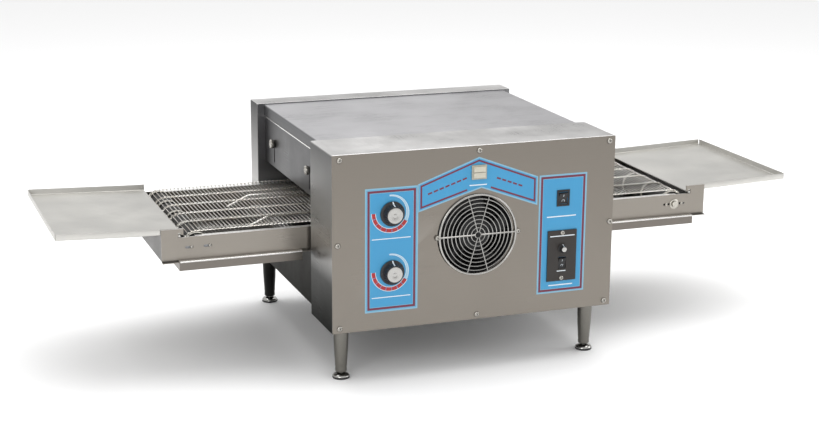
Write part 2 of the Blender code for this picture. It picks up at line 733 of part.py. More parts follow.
def side_plate(front, name):
    """Conveyor side: web with a flange turned in along the top and slide flanges turned out below."""
    inward = 1 if front else -1
    outer = set_back(PLATE_FRONT if front else PLATE_REAR)
    inner = outer + inward * SHEET
    low = BODY_BOTTOM + PLATE_BOTTOM
    top = BODY_BOTTOM + PLATE_TOP
    loops = [plate_outline()]
    for side in (-1, 1):
        for pitch in (-1, 1):
            loops.append(slot(side * END_AXLE_X + pitch * TAKE_UP_PITCH / 2, AXLE_Z, TAKE_UP_SLOT, SLOT_WIDTH))
    for x in (DRIVE_AXLE_X, END_AXLE_X):
        loops.append(circle(x, AXLE_Z, AXLE_RADIUS + RUN, 20))
    web = sheet(loops, FACING_FRONT, min(outer, inner), max(outer, inner))
    tip = outer + inward * (SHEET + PLATE_FLANGE)
    flange_x = EAR_INNER_X - FLANGE_END_GAP
    edge = sorted((outer + inward * SHEET / 2, tip))
    flange = block((-flange_x, edge[0], top - SHEET), (flange_x, edge[1], top - 0.00005))
    plate = join(web, flange)
    tip = outer - inward * SLIDE_FLANGE
    edge = sorted((outer + inward * SHEET / 2, tip))
    for side in (-1, 1):
        ends = sorted((side * (HALF_BODY + SLIDE), side * (HALF_CONVEYOR - SKIN)))
        slide = block((ends[0], edge[0], low + 0.00005), (ends[1], edge[1], low + SHEET))
        plate = join(plate, slide)
    keep(plate, name, "steel")


def conveyor_end_plate(side, name):
    """Plate across the conveyor's end; its top edge carries the tray."""
    outer = side * (HALF_CONVEYOR - SHEET)
    inner = outer - side * SHEET
    rise = (HALF_CONVEYOR - TRAY_PIN_X - 2 * SHEET) * math.tan(TRAY_TILT)
    top = TRAY_SURFACE - TRAY_SHEET + rise - SEAT
    low = BODY_BOTTOM + PLATE_BOTTOM
    front = set_back(PLATE_FRONT + SHEET + SEAT)
    back = set_back(PLATE_REAR - SHEET - SEAT)
    ends = sorted((outer, inner))
    keep(block((ends[0], front, low), (ends[1], back, top)), name, "steel")


def rail_points(y):
    z = BODY_BOTTOM + BELT_TOP - BELT_THICKNESS - RAIL_GAP - RAIL_RADIUS
    low = z - RAIL_TAIL_DROP
    right = [(RAIL_REACH - RAIL_BEND_LENGTH, y, z), (RAIL_REACH, y, z - RAIL_BEND_DROP),
             (RAIL_REACH + RAIL_TAIL, y, low)]
    left = [(-x, y, z) for x, y, z in reversed(right)]
    return left + right


def belt_rail_frame():
    """Two rails under the belt's upper run, welded to two bars across the frame."""
    middle = (PLATE_FRONT + PLATE_REAR) / 2
    top = BODY_BOTTOM + PLATE_TOP - SHEET - SEAT
    low = top - CROSS_BAR_THICKNESS
    half = CROSS_BAR_WIDTH / 2
    front = set_back(PLATE_FRONT + SHEET + SEAT)
    back = set_back(PLATE_REAR - SHEET - SEAT)
    frame = bent_wire(rail_points(set_back(middle - RAIL_SPREAD)), RAIL_RADIUS)
    other = bent_wire(rail_points(set_back(middle + RAIL_SPREAD)), RAIL_RADIUS)
    bars = [block((x - half, front, low), (x + half, back, top)) for x in (-CROSS_BAR_X, CROSS_BAR_X)]
    frame = join(frame, bars[0], bars[1], other)
    keep(frame, "belt_rail_frame", "wire")


def take_up(front, name):
    """Sliding bearing block behind the plate at the left end, which tightens the belt."""
    inward = 1 if front else -1
    face = set_back(PLATE_FRONT + SHEET + SEAT) if front else set_back(PLATE_REAR - SHEET - SEAT)
    ends = sorted((face, face + inward * TAKE_UP_THICKNESS))
    half = TAKE_UP_PITCH / 2 + TAKE_UP_SLOT / 2
    tall = AXLE_RADIUS + TAKE_UP_MARGIN
    body = block((-END_AXLE_X - half, ends[0], AXLE_Z - tall), (-END_AXLE_X + half, ends[1], AXLE_Z + tall))
    bore = rod(AXLE_RADIUS + RUN, (-END_AXLE_X, ends[0] - SHEET, AXLE_Z), (-END_AXLE_X, ends[1] + SHEET, AXLE_Z))
    keep(cut(body, bore), name, "motor")


# ---------------------------------------------------------------- belt and rollers
def conveyor_belt():
    """Endless belt round the two end drums, open in rows of windows between its wires."""
    def run(radius):
        right = [(END_AXLE_X + radius * math.sin(turn), AXLE_Z + radius * math.cos(turn)) for turn in half_turn]
        left = [(-END_AXLE_X - radius * math.sin(turn), AXLE_Z - radius * math.cos(turn)) for turn in half_turn]
        return right + left

    half_turn = [math.pi * step / 10 for step in range(11)]
    loops = [run(BELT_OUTER_RADIUS), run(BELT_INNER_RADIUS)]
    belt = sheet(loops, FACING_FRONT, set_back(BELT_FRONT), set_back(BELT_REAR))
    columns = int((2 * END_AXLE_X - BELT_WINDOW) / BELT_WINDOW_PITCH)
    width = (BELT_REAR - BELT_FRONT - (BELT_WINDOW_ROWS + 1) * BELT_STRIP) / BELT_WINDOW_ROWS
    windows = []
    for column in range(columns):
        x = (column - (columns - 1) / 2) * BELT_WINDOW_PITCH
        for row in range(BELT_WINDOW_ROWS):
            y = set_back(BELT_FRONT + BELT_STRIP + row * (width + BELT_STRIP))
            windows.append(((x - BELT_WINDOW / 2, y, AXLE_Z - 2 * BELT_OUTER_RADIUS),
                            (x + BELT_WINDOW / 2, y + width, AXLE_Z + 2 * BELT_OUTER_RADIUS)))
    keep(cut(belt, blocks(windows)), "conveyor_belt", "wire")


def end_drum(side, name):
    """Idler drum: sleeves between raised rims, on a shaft held in both side plates."""
    front = PLATE_FRONT + SHEET + SEAT
    back = PLATE_REAR - SHEET - SEAT
    drum_front = BELT_FRONT - DRUM_OVERHANG
    drum_back = BELT_REAR + DRUM_OVERHANG
    stub = TAKE_UP_THICKNESS / 2 if side < 0 else -SHEET - AXLE_PROUD
    pitch = (drum_back - drum_front - DRUM_RIM) / (DRUM_RIMS - 1)
    profile = [(0, back - stub), (AXLE_RADIUS, back - stub), (AXLE_RADIUS, drum_back)]
    for rim in reversed(range(DRUM_RIMS)):
        low = drum_front + rim * pitch
        profile.append((DRUM_RADIUS, low + DRUM_RIM))
        profile.append((DRUM_RADIUS, low))
        if rim:
            profile.append((DRUM_RADIUS - DRUM_SLEEVE_DROP, low))
            profile.append((DRUM_RADIUS - DRUM_SLEEVE_DROP, low - pitch + DRUM_RIM))
    profile += [(AXLE_RADIUS, drum_front), (AXLE_RADIUS, front + stub), (0, front + stub)]
    base = (side * END_AXLE_X, FACE_Y, AXLE_Z)
    keep(turned(profile, base, (0, 1, 0), 16), name, "drum", base)


def drive_shaft():
    """Driven shaft under the middle of the belt, with four belt wheels and the chain wheel."""
    middle = (PLATE_FRONT + PLATE_REAR) / 2
    back = PLATE_REAR - SHEET - SEAT - SLIDE
    half = DRIVE_WHEEL_WIDTH / 2
    profile = [(0, back), (AXLE_RADIUS, back)]
    for offset in DRIVE_WHEEL_OFFSETS:
        centre = middle + offset
        profile += [(AXLE_RADIUS, centre + half), (DRUM_RADIUS, centre + half), (DRUM_RADIUS, centre - half),
                    (AXLE_RADIUS, centre - half)]
    tip = SPROCKET_CENTRE - 2 * SPROCKET_WIDTH
    chain_wheel = SHAFT_SPROCKET_RADIUS - SEAT
    wheel_back = SPROCKET_CENTRE + SPROCKET_WIDTH / 2
    wheel_front = SPROCKET_CENTRE - SPROCKET_WIDTH / 2
    profile += [(AXLE_RADIUS, wheel_back), (chain_wheel, wheel_back), (chain_wheel, wheel_front),
                (AXLE_RADIUS, wheel_front), (AXLE_RADIUS, tip), (0, tip)]
    base = (DRIVE_AXLE_X, FACE_Y, AXLE_Z)
    keep(turned(profile, base, (0, 1, 0), 16), "drive_shaft", "drum", base)


# ---------------------------------------------------------------- trays
def tray(side, name):
    """Loading or landing tray: flanged on three sides, hooked on by a pin under its inner edge."""
    outer = OVERALL_LENGTH / 2
    front = set_back(PLATE_FRONT + SHEET + SLIDE)
    back = set_back(PLATE_REAR - SHEET - SLIDE)
    low = TRAY_SURFACE - TRAY_SHEET
    top = low + TRAY_FLANGE
    pan = block((TRAY_INNER_X, front, low), (outer, back, top))
    room = block((TRAY_INNER_X - TRAY_FLANGE, front + TRAY_SHEET, low + TRAY_SHEET),
                 (outer - TRAY_SHEET, back - TRAY_SHEET, top + TRAY_FLANGE))
    pan = cut(pan, room)
    pin_front = set_back(PLATE_FRONT + SEAT)
    pin_back = set_back(PLATE_REAR - SEAT)
    pin = rod(TRAY_PIN_RADIUS, (TRAY_PIN_X, pin_front, TRAY_PIN_Z), (TRAY_PIN_X, pin_back, TRAY_PIN_Z), 16)
    pan = join(pan, pin)
    pivot = Vector((TRAY_PIN_X, 0, TRAY_PIN_Z))
    tilt = Matrix.Translation(pivot) @ Matrix.Rotation(-TRAY_TILT, 4, 'Y') @ Matrix.Translation(-pivot)
    pan.data.transform(tilt)
    if side < 0:
        pan.data.transform(Matrix.Diagonal((-1, 1, 1, 1)))
        pan.data.flip_normals()
    keep(pan, name, "tray", (side * TRAY_PIN_X, 0, TRAY_PIN_Z))


def crumb_tray(side, name):
    """Pan under the belt, whose rims wrap the conveyor's slide flanges."""
    inner_x = HALF_BODY + CRUMB_BODY_GAP
    outer_x = HALF_CONVEYOR - CRUMB_OUTER_INSET
    flange_low = BODY_BOTTOM + PLATE_BOTTOM
    flange_top = flange_low + SHEET
    rim_low = flange_top + SLIDE / 2
    rim_top = rim_low + TRAY_SHEET
    low = rim_top - CRUMB_DEPTH
    web_front = set_back(PLATE_FRONT)
    web_back = set_back(PLATE_REAR)
    front = web_front - SLIDE_FLANGE - SLIDE - TRAY_SHEET
    back = web_back + SLIDE_FLANGE + SLIDE + TRAY_SHEET
    pan = block((inner_x, front, low), (outer_x, back, rim_top))
    room = block((inner_x + TRAY_SHEET, front + TRAY_SHEET, low + TRAY_SHEET),
                 (outer_x - TRAY_SHEET, back - TRAY_SHEET, rim_low))
    mouth = block((inner_x + TRAY_SHEET, web_front - SLIDE, rim_low - TRAY_SHEET),
                  (outer_x - TRAY_SHEET, web_back + SLIDE, rim_top + TRAY_SHEET))
    clear_low = flange_low - SLIDE / 2
    passage = block((inner_x - TRAY_SHEET, front + TRAY_SHEET, clear_low),
                    (outer_x + TRAY_SHEET, back - TRAY_SHEET, rim_low))
    path = block((inner_x - TRAY_SHEET, web_front - SLIDE, clear_low),
                 (outer_x + TRAY_SHEET, web_back + SLIDE, rim_top + TRAY_SHEET))
    pan = cut(pan, room, mouth, passage, path)
    if side < 0:
        pan.data.transform(Matrix.Diagonal((-1, 1, 1, 1)))
        pan.data.flip_normals()
    keep(pan, name, "steel")


# ---------------------------------------------------------------- drive
def gear_motor():
    """Motor and gearbox on the control box's back wall, with the output shaft towards the bulkhead."""
    face = SPROCKET_CENTRE - 2 * SPROCKET_WIDTH - MOTOR_WALL_GAP
    box_front = face - GEARBOX_DEPTH
    low = MOTOR_Z - GEARBOX / 4
    gearbox = block((DRIVE_AXLE_X - GEARBOX / 2, set_back(box_front), low),
                    (DRIVE_AXLE_X + GEARBOX / 2 - MOTOR_WALL_GAP, set_back(face), low + GEARBOX))
    can_z = low + GEARBOX / 2
    can = rod(MOTOR_RADIUS, (DRIVE_AXLE_X, set_back(box_front - MOTOR_LENGTH / 2), can_z),
              (DRIVE_AXLE_X, set_back(box_front + MOTOR_BURIED), can_z), 24)
    output = rod(MOTOR_SHAFT_RADIUS, (DRIVE_AXLE_X, set_back(face - MOTOR_BURIED), MOTOR_Z),
                 (DRIVE_AXLE_X, set_back(face + MOTOR_SHAFT_REACH), MOTOR_Z), 16)
    keep(join(gearbox, can, output), "gear_motor", "motor")


def motor_sprocket():
    shaft = MOTOR_SHAFT_RADIUS + RUN
    half = SPROCKET_WIDTH / 2
    radius = MOTOR_SPROCKET_RADIUS - SEAT
    hub = shaft + SPROCKET_WIDTH
    profile = [(hub, half), (radius, half), (radius, -half), (hub, -half), (hub, -2 * half), (shaft, -2 * half),
               (shaft, 2 * half), (hub, 2 * half)]
    base = (DRIVE_AXLE_X, set_back(SPROCKET_CENTRE), MOTOR_Z)
    wheel = turned(profile, base, (0, 1, 0), 14, ring=True)
    keep(wheel, "motor_sprocket", "drum", base)


def drive_chain():
    """Endless chain round the motor wheel below and the shaft wheel above."""
    def part_turn(z, radius, start, end):
        angles = [start + (end - start) * step / 12 for step in range(13)]
        return [(DRIVE_AXLE_X + radius * math.cos(angle), z + radius * math.sin(angle)) for angle in angles]

    def run(grow):
        lower = MOTOR_SPROCKET_RADIUS + grow
        upper = SHAFT_SPROCKET_RADIUS + grow
        lean = math.asin((upper - lower) / MOTOR_DROP)
        over = part_turn(AXLE_Z, upper, -lean, math.pi + lean)
        return over + part_turn(MOTOR_Z, lower, math.pi + lean, 2 * math.pi - lean)

    band = sheet([run(CHAIN_THICKNESS), run(0)], FACING_FRONT, set_back(SPROCKET_CENTRE - CHAIN_WIDTH / 2),
                 set_back(SPROCKET_CENTRE + CHAIN_WIDTH / 2))
    keep(band, "drive_chain", "drum")


# ---------------------------------------------------------------- heating elements
def element(height, name):
    """Sheathed rod bent to and fro across the chamber, with both ends in the control box."""
    z = BODY_BOTTOM + height
    near = set_back(FRONT_BOX_DEPTH - SHEET - ELEMENT_STUB)
    front = set_back(FRONT_BOX_DEPTH + ELEMENT_REAR_GAP)
    back = set_back(REAR_FACE - ELEMENT_REAR_GAP)
    xs = ELEMENT_LEGS
    corners = [(xs[0], back), (xs[1], back), (xs[1], front), (xs[2], front), (xs[2], back), (xs[3], back)]
    path = [(xs[0], near)]
    for index, corner in enumerate(corners):
        here = Vector(corner)
        before = (Vector(path[0] if index == 0 else corners[index - 1]) - here).normalized()
        after = (Vector((xs[3], near) if index == len(corners) - 1 else corners[index + 1]) - here).normalized()
        centre = here + (before + after) * ELEMENT_BEND
        for step in range(5):
            turn = math.pi / 2 * step / 4
            spoke = -after * math.cos(turn) - before * math.sin(turn)
            path.append(tuple(centre + spoke * ELEMENT_BEND))
    path.append((xs[3], near))
    keep(bent_wire([(x, y, z) for x, y in path], ELEMENT_RADIUS), name, "element")


# ---------------------------------------------------------------- cooling fan
def fan_frame():
    half = FAN_FRAME / 2
    near = set_back(SHEET + SEAT)
    far = near + FAN_DEPTH
    corner = FAN_CORNER
    loops = [rounded([(FAN_X - half, FAN_Z - half, corner), (FAN_X + half, FAN_Z - half, corner),
                      (FAN_X + half, FAN_Z + half, corner), (FAN_X - half, FAN_Z + half, corner)]),
             circle(FAN_X, FAN_Z, FAN_DUCT_RADIUS, 40)]
    frame = sheet(loops, FACING_FRONT, near, far)
    motor = rod(FAN_HUB_RADIUS, (FAN_X, far - FAN_MOTOR_DEPTH, FAN_Z), (FAN_X, far - SHEET, FAN_Z), 24)
    depth = far - FAN_MOTOR_DEPTH / 2
    for index in range(FAN_STRUTS):
        angle = FAN_STRUT_LEAN + 2 * math.pi * index / FAN_STRUTS
        ends = [(FAN_X + reach * math.cos(angle), depth, FAN_Z + reach * math.sin(angle))
                for reach in (FAN_HUB_RADIUS - FAN_STRUT_BITE, FAN_DUCT_RADIUS + FAN_STRUT_BITE)]
        motor = join(motor, rod(FAN_STRUT_RADIUS, ends[0], ends[1], 8))
    keep(join(frame, motor), "fan_frame", "black")


def fan_impeller():
    near = set_back(SHEET + SEAT + FAN_FRONT_GAP)
    far = set_back(SHEET + SEAT + FAN_DEPTH - FAN_BACK_GAP)
    wheel = rod(FAN_HUB_RADIUS, (FAN_X, near, FAN_Z), (FAN_X, far, FAN_Z), 24)
    half_length = (FAN_BLADE_RADIUS - FAN_BLADE_ROOT) / 2
    half = Vector((half_length, FAN_BLADE_WIDTH / 2, FAN_BLADE_THICKNESS / 2))
    pitch = Matrix.Translation((FAN_BLADE_ROOT + half_length, 0, 0)) @ Matrix.Rotation(FAN_BLADE_PITCH, 4, 'X')
    for index in range(FAN_BLADES):
        blade = block(-half, half)
        around = Matrix.Rotation(2 * math.pi * index / FAN_BLADES, 4, 'Y')
        blade.data.transform(Matrix.Translation((FAN_X, (near + far) / 2, FAN_Z)) @ around @ pitch)
        wheel = join(wheel, blade)
    keep(wheel, "fan_impeller", "black", (FAN_X, near, FAN_Z))


def fan_guard():
    """Wire guard on the panel: concentric rings on four leaning spokes and one level rod."""
    far = FACE_Y - SEAT
    near = far - 2 * GUARD_WIRE
    loops = [circle(FAN_X, FAN_Z, GUARD_RADIUS, 40)]
    half = GUARD_WIRE * 0.6
    for ring in range(GUARD_RINGS):
        outer = GUARD_RADIUS - GUARD_WIRE - ring * GUARD_RING_GAP
        inner = outer - GUARD_RING_GAP + GUARD_WIRE
        loops += guard_windows(inner, outer, half)
    disc = sheet(loops, FACING_FRONT, near, far)
    ends = guard_screw_places()
    bar = block((ends[0], near + 2 * SKIN, FAN_Z - half), (ends[1], far - 2 * SKIN, FAN_Z + half))
    for x in ends:
        bar = join(bar, rod(GUARD_TAB_RADIUS, (x, near + SKIN, FAN_Z), (x, far - SKIN, FAN_Z), 14))
    keep(join(disc, bar), "fan_guard", "bright")


def guard_windows(inner, outer, half):
    """The four openings of one ring gap, between the leaning spokes."""
    spokes = [math.pi / 2 - GUARD_SPOKE_ANGLE, math.pi / 2 + GUARD_SPOKE_ANGLE,
              3 * math.pi / 2 - GUARD_SPOKE_ANGLE, 3 * math.pi / 2 + GUARD_SPOKE_ANGLE]
    loops = []
    for index, start in enumerate(spokes):
        end = spokes[(index + 1) % len(spokes)] + (2 * math.pi if index == len(spokes) - 1 else 0)
        steps = 2 if end - start < 1 else 8
        loop = []
        for radius, turns in ((outer, range(steps + 1)), (inner, reversed(range(steps + 1)))):
            trim = math.asin(half / radius)
            for step in turns:
                angle = start + trim + (end - start - 2 * trim) * step / steps
                loop.append((FAN_X + radius * math.cos(angle), FAN_Z + radius * math.sin(angle)))
        loops.append(loop)
    return loops


# ---------------------------------------------------------------- controls
def thermostat(height, name):
    """Thermostat body behind the panel, with its bush and shaft through it."""
    shaft = KNOB_DEPTH * 0.6
    bush = 2 * SHAFT_RADIUS - SEAT
    back = SHEET + 2 * SEAT
    profile = [(0, shaft), (SHAFT_RADIUS, shaft), (SHAFT_RADIUS, KNOB_GAP / 2), (bush, KNOB_GAP / 2), (bush, -back),
               (THERMOSTAT_RADIUS, -back), (THERMOSTAT_RADIUS, -back - THERMOSTAT_DEPTH),
               (0, -back - THERMOSTAT_DEPTH)]
    body = turned(profile, (KNOB_X, FACE_Y, BODY_BOTTOM + height), (0, -1, 0), 16)
    keep(body, name, "brown")


def control_knob(place, radius, cap, depth, name):
    """Turned knob with a narrower cap, a pointer rib at the top and a blind bore for its shaft."""
    x, base, z = place
    bore = SHAFT_RADIUS + RUN
    bore_depth = depth * 0.75
    profile = [(0, depth), (cap, depth), (cap * 1.02, depth * 0.93), (cap * 1.1, depth * 0.9),
               (radius * 0.86, depth * 0.30), (radius * 0.92, depth * 0.24), (radius, depth * 0.20), (radius, 0),
               (bore, 0), (bore, bore_depth), (0, bore_depth)]
    body = turned(profile, place, (0, -1, 0), 20)
    rib = block((x - radius * 0.035, base - depth * 0.55, z + cap * 0.9),
                (x + radius * 0.035, base - depth * 0.05, z + radius * 0.97))
    keep(join(body, rib), name, "black", place)


def rocker_switch(x, z, width, tall, face, names, finish):
    """Housing with a pocket open to the front, and the rocker that tips in it."""
    low = z - tall / 2
    high = z + tall / 2
    proud = face - BEZEL_PROUD
    bezel = block((x - width / 2, proud, low), (x + width / 2, face - SEAT, high))
    slim = BEZEL_LIP + SEAT
    case = block((x - width / 2 + slim, proud + BURIED, low + slim),
                 (x + width / 2 - slim, face + SWITCH_CASE_DEPTH, high - slim))
    housing = join(bezel, case)
    edge = slim + ROCKER_WALL
    pocket = block((x - width / 2 + edge, proud - BEZEL_LIP, low + edge),
                   (x + width / 2 - edge, face + ROCKER_POCKET, high - edge))
    keep(cut(housing, pocket), names[0], finish)
    rocker = rocker_body(x, z, width / 2 - edge - RUN, tall / 2 - edge - RUN, proud)
    keep(rocker, names[1], finish, (x, proud + ROCKER_PIVOT, z))


def rocker_body(x, z, half_width, half_tall, proud):
    """Rocker seen from the side: two faces meeting in a shallow valley, tipped to one side."""
    pivot = Vector((proud + ROCKER_PIVOT, z))
    face = half_tall * 0.93
    outline = [(-ROCKER_END, face), (-ROCKER_VALLEY, 0.0), (-ROCKER_END, -face), (ROCKER_PIVOT, -face),
               (ROCKER_KEEL, 0.0), (ROCKER_PIVOT, face)]
    tipped = []
    for depth, rise in outline:
        point = Vector((depth, rise))
        point.rotate(Matrix.Rotation(SWITCH_TILT, 2))
        tipped.append((pivot.x + point.x, pivot.y + point.y))
    return sheet([tipped], FACING_SIDE, x - half_width, x + half_width)


def indicator_lamp():
    low = BODY_BOTTOM + LAMP_HEIGHT - LAMP_TALL / 2
    high = BODY_BOTTOM + LAMP_HEIGHT + LAMP_TALL / 2
    left = LAMP_X - LAMP_WIDTH / 2
    right = LAMP_X + LAMP_WIDTH / 2
    bezel = block((left, FACE_Y - BEZEL_PROUD, low), (right, FACE_Y - SEAT, high))
    rim = BEZEL_LIP
    inside = FACE_Y - BEZEL_PROUD + BURIED
    lens = block((left + rim, FACE_Y - LAMP_PROUD, low + rim), (right - rim, inside, high - rim))
    slim = BEZEL_LIP + SEAT
    case = block((left + slim, inside, low + slim), (right - slim, FACE_Y + SWITCH_CASE_DEPTH, high - slim))
    keep(join(bezel, lens, case), "indicator_lamp", "ivory")


def speed_controller():
    """Moulded plate and case of the belt speed controller, with its knob and its run switch."""
    low = BODY_BOTTOM + SPEED_HEIGHT - SPEED_TALL / 2
    high = BODY_BOTTOM + SPEED_HEIGHT + SPEED_TALL / 2
    left = SPEED_X - SPEED_WIDTH / 2
    right = SPEED_X + SPEED_WIDTH / 2
    front = FACE_Y - SEAT - SPEED_PLATE
    plate = block((left, front, low), (right, FACE_Y - SEAT, high))
    side = 2 * BEZEL_LIP + SEAT
    end = 4 * BEZEL_LIP + SEAT
    case = block((left + side, front + BURIED, low + end), (right - side, FACE_Y + SPEED_CASE_DEPTH, high - end))
    knob_x = SPEED_X + SPEED_KNOB_OFFSET[0]
    knob_z = BODY_BOTTOM + SPEED_HEIGHT + SPEED_KNOB_OFFSET[1]
    post = rod(SHAFT_RADIUS, (knob_x, front - SPEED_KNOB_DEPTH * 0.6, knob_z),
               (knob_x, front + SPEED_PLATE, knob_z), 16)
    body = join(plate, case, post)
    rocker_x = SPEED_X + SPEED_ROCKER_OFFSET[0]
    rocker_z = BODY_BOTTOM + SPEED_HEIGHT + SPEED_ROCKER_OFFSET[1]
    half_width = SPEED_ROCKER_WIDTH / 2
    half_tall = SPEED_ROCKER_TALL / 2
    pocket = block((rocker_x - half_width, front - BEZEL_LIP, rocker_z - half_tall),
                   (rocker_x + half_width, front + ROCKER_POCKET, rocker_z + half_tall))
    keep(cut(body, pocket), "speed_controller", "brown")
    rocker = rocker_body(rocker_x, rocker_z, half_width - RUN, half_tall - RUN, front)
    keep(rocker, "run_switch_rocker", "black", (rocker_x, front + ROCKER_PIVOT, rocker_z))
    knob_place = (knob_x, front - KNOB_GAP, knob_z)
    control_knob(knob_place, SPEED_KNOB_RADIUS, SPEED_KNOB_CAP, SPEED_KNOB_DEPTH, "speed_knob")


# ---------------------------------------------------------------- assembly
def build_casing():
    front_panel()
    front_box_cover()
    control_bulkhead()
    rear_box_cover()
    rear_bulkhead()
    top_cover()
    chamber_roof()
    insulation_blanket()
    chamber_floor()
    cable_gland()
    for side, word in ((-1, "left"), (1, "right")):
        end_wall(side, f"{word}_end_wall")
        gate(side, f"{word}_gate")
        for distance, place in zip(GATE_SCREW_SETBACKS, ("front", "rear")):
            gate_screw(side, distance, f"{word}_gate_screw_{place}")
    for word, place in leg_places().items():
        leg(place, f"{word}_leg")
        foot(place, f"{word}_foot")


def build_conveyor():
    side_plate(True, "conveyor_front_plate")
    side_plate(False, "conveyor_rear_plate")
    belt_rail_frame()
    take_up(True, "take_up_block_front")
    take_up(False, "take_up_block_rear")
    conveyor_belt()
    drive_shaft()
    for side, word in ((-1, "left"), (1, "right")):
        conveyor_end_plate(side, f"{word}_conveyor_end_plate")
        end_drum(side, f"{word}_idler_drum")
        tray(side, f"{word}_tray")
        crumb_tray(side, f"{word}_crumb_tray")


def build_works():
    gear_motor()
    motor_sprocket()
    drive_chain()
    element(UPPER_ELEMENT_HEIGHT, "upper_element")
    element(LOWER_ELEMENT_HEIGHT, "lower_element")
    fan_frame()
    fan_impeller()
    fan_guard()


def build_controls():
    for word, height in KNOB_HEIGHTS.items():
        thermostat(height, f"{word}_thermostat")
        place = (KNOB_X, FACE_Y - KNOB_GAP, BODY_BOTTOM + height)
        control_knob(place, KNOB_RADIUS, KNOB_CAP_RADIUS, KNOB_DEPTH, f"{word}_heat_knob")
    rocker_switch(SWITCH_X, BODY_BOTTOM + SWITCH_HEIGHT, SWITCH_WIDTH, SWITCH_TALL, FACE_Y,
                  ("power_switch_housing", "power_switch_rocker"), "black")
    indicator_lamp()
    speed_controller()


build_casing()
build_conveyor()
build_works()
build_controls()
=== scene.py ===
import json
import math

import bmesh
import bpy
from mathutils import Matrix, Vector


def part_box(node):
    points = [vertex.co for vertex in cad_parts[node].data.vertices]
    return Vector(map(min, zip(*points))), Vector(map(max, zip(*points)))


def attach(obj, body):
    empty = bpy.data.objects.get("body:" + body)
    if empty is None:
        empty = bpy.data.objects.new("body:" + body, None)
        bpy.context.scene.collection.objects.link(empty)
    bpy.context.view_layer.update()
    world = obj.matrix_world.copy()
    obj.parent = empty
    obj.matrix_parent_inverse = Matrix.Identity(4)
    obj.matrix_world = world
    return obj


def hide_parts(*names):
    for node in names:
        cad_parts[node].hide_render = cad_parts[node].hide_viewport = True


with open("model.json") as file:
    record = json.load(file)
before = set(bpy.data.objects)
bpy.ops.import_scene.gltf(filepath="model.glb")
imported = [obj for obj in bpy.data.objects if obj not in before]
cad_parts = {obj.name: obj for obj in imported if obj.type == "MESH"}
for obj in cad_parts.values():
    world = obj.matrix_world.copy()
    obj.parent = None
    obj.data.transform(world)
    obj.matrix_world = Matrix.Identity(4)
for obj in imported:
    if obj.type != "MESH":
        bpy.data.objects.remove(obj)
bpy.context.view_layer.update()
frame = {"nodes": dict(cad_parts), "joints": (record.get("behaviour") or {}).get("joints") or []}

# ---------------------------------------------------------------- camera
# A standing view from the left front corner, a little above the oven's top, level with the horizon.
panel_low, panel_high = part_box("front_panel")
FACE = panel_low.y
VIEW_FROM = Vector((-1.1397, FACE - 2.7281, 1.0799))
VIEW_HEADING = math.radians(20.29)
VIEW_DROP = math.radians(14.83)
VIEW_ROLL = 0.0078
VIEW_LENS = 73.6

gaze = Vector((math.sin(VIEW_HEADING) * math.cos(VIEW_DROP), math.cos(VIEW_HEADING) * math.cos(VIEW_DROP),
               -math.sin(VIEW_DROP)))
level = Vector((math.cos(VIEW_HEADING), -math.sin(VIEW_HEADING), 0.0))
upright = level.cross(gaze)
across = level * math.cos(VIEW_ROLL) + upright * math.sin(VIEW_ROLL)
up = upright * math.cos(VIEW_ROLL) - level * math.sin(VIEW_ROLL)
lens = bpy.data.cameras.new("view")
lens.lens = VIEW_LENS
lens.sensor_width = 36.0
lens.clip_end = 60.0
camera = bpy.data.objects.new("view", lens)
turn = Matrix((across, up, -gaze)).transposed().to_4x4()
camera.matrix_world = Matrix.Translation(VIEW_FROM) @ turn
bpy.context.scene.collection.objects.link(camera)
bpy.context.scene.camera = camera
bpy.context.scene.view_settings.view_transform = "Standard"

# ---------------------------------------------------------------- studio
# A pale floor that runs out to the horizon, a wide soft light overhead and two weaker ones at the sides.
FLOOR_SIZE = 60.0
FLOOR_COLOUR = (0.93, 0.93, 0.93)
SKY_BRIGHT = 1.0
SKY_LOW = 0.55


def wire_up(tree, kind, inputs=(), **settings):
    """Add one shading node with its settings; each input takes a value, or a link from another node."""
    made = tree.nodes.new(kind)
    for key, value in settings.items():
        setattr(made, key, value)
    for key, value in dict(inputs).items():
        if isinstance(value, bpy.types.NodeSocket):
            tree.links.new(value, made.inputs[key])
        else:
            made.inputs[key].default_value = value
    return made


def stretched(tree, value, low, high, to_low, to_high):
    """Map a value from one range to another."""
    span = {"Value": value, "From Min": low, "From Max": high, "To Min": to_low, "To Max": to_high}
    return wire_up(tree, "ShaderNodeMapRange", span).outputs["Result"]


def noise(tree, place, scale, detail, roughness):
    """A noise over the given coordinates."""
    grain = {"Vector": place, "Scale": scale, "Detail": detail, "Roughness": roughness}
    return wire_up(tree, "ShaderNodeTexNoise", grain).outputs["Fac"]


def half_and_half(tree, first, second):
    """The mean of two values."""
    half = wire_up(tree, "ShaderNodeMath", {0: second, 1: 0.5}, operation="MULTIPLY").outputs["Value"]
    return wire_up(tree, "ShaderNodeMath", {0: first, 1: 0.5, 2: half},
                   operation="MULTIPLY_ADD").outputs["Value"]


def roughen(tree, shader, grain, strength, depth):
    """Raise the surface a little with the grain."""
    bump = wire_up(tree, "ShaderNodeBump", {"Height": grain, "Strength": strength, "Distance": depth})
    tree.links.new(bump.outputs["Normal"], shader["Normal"])


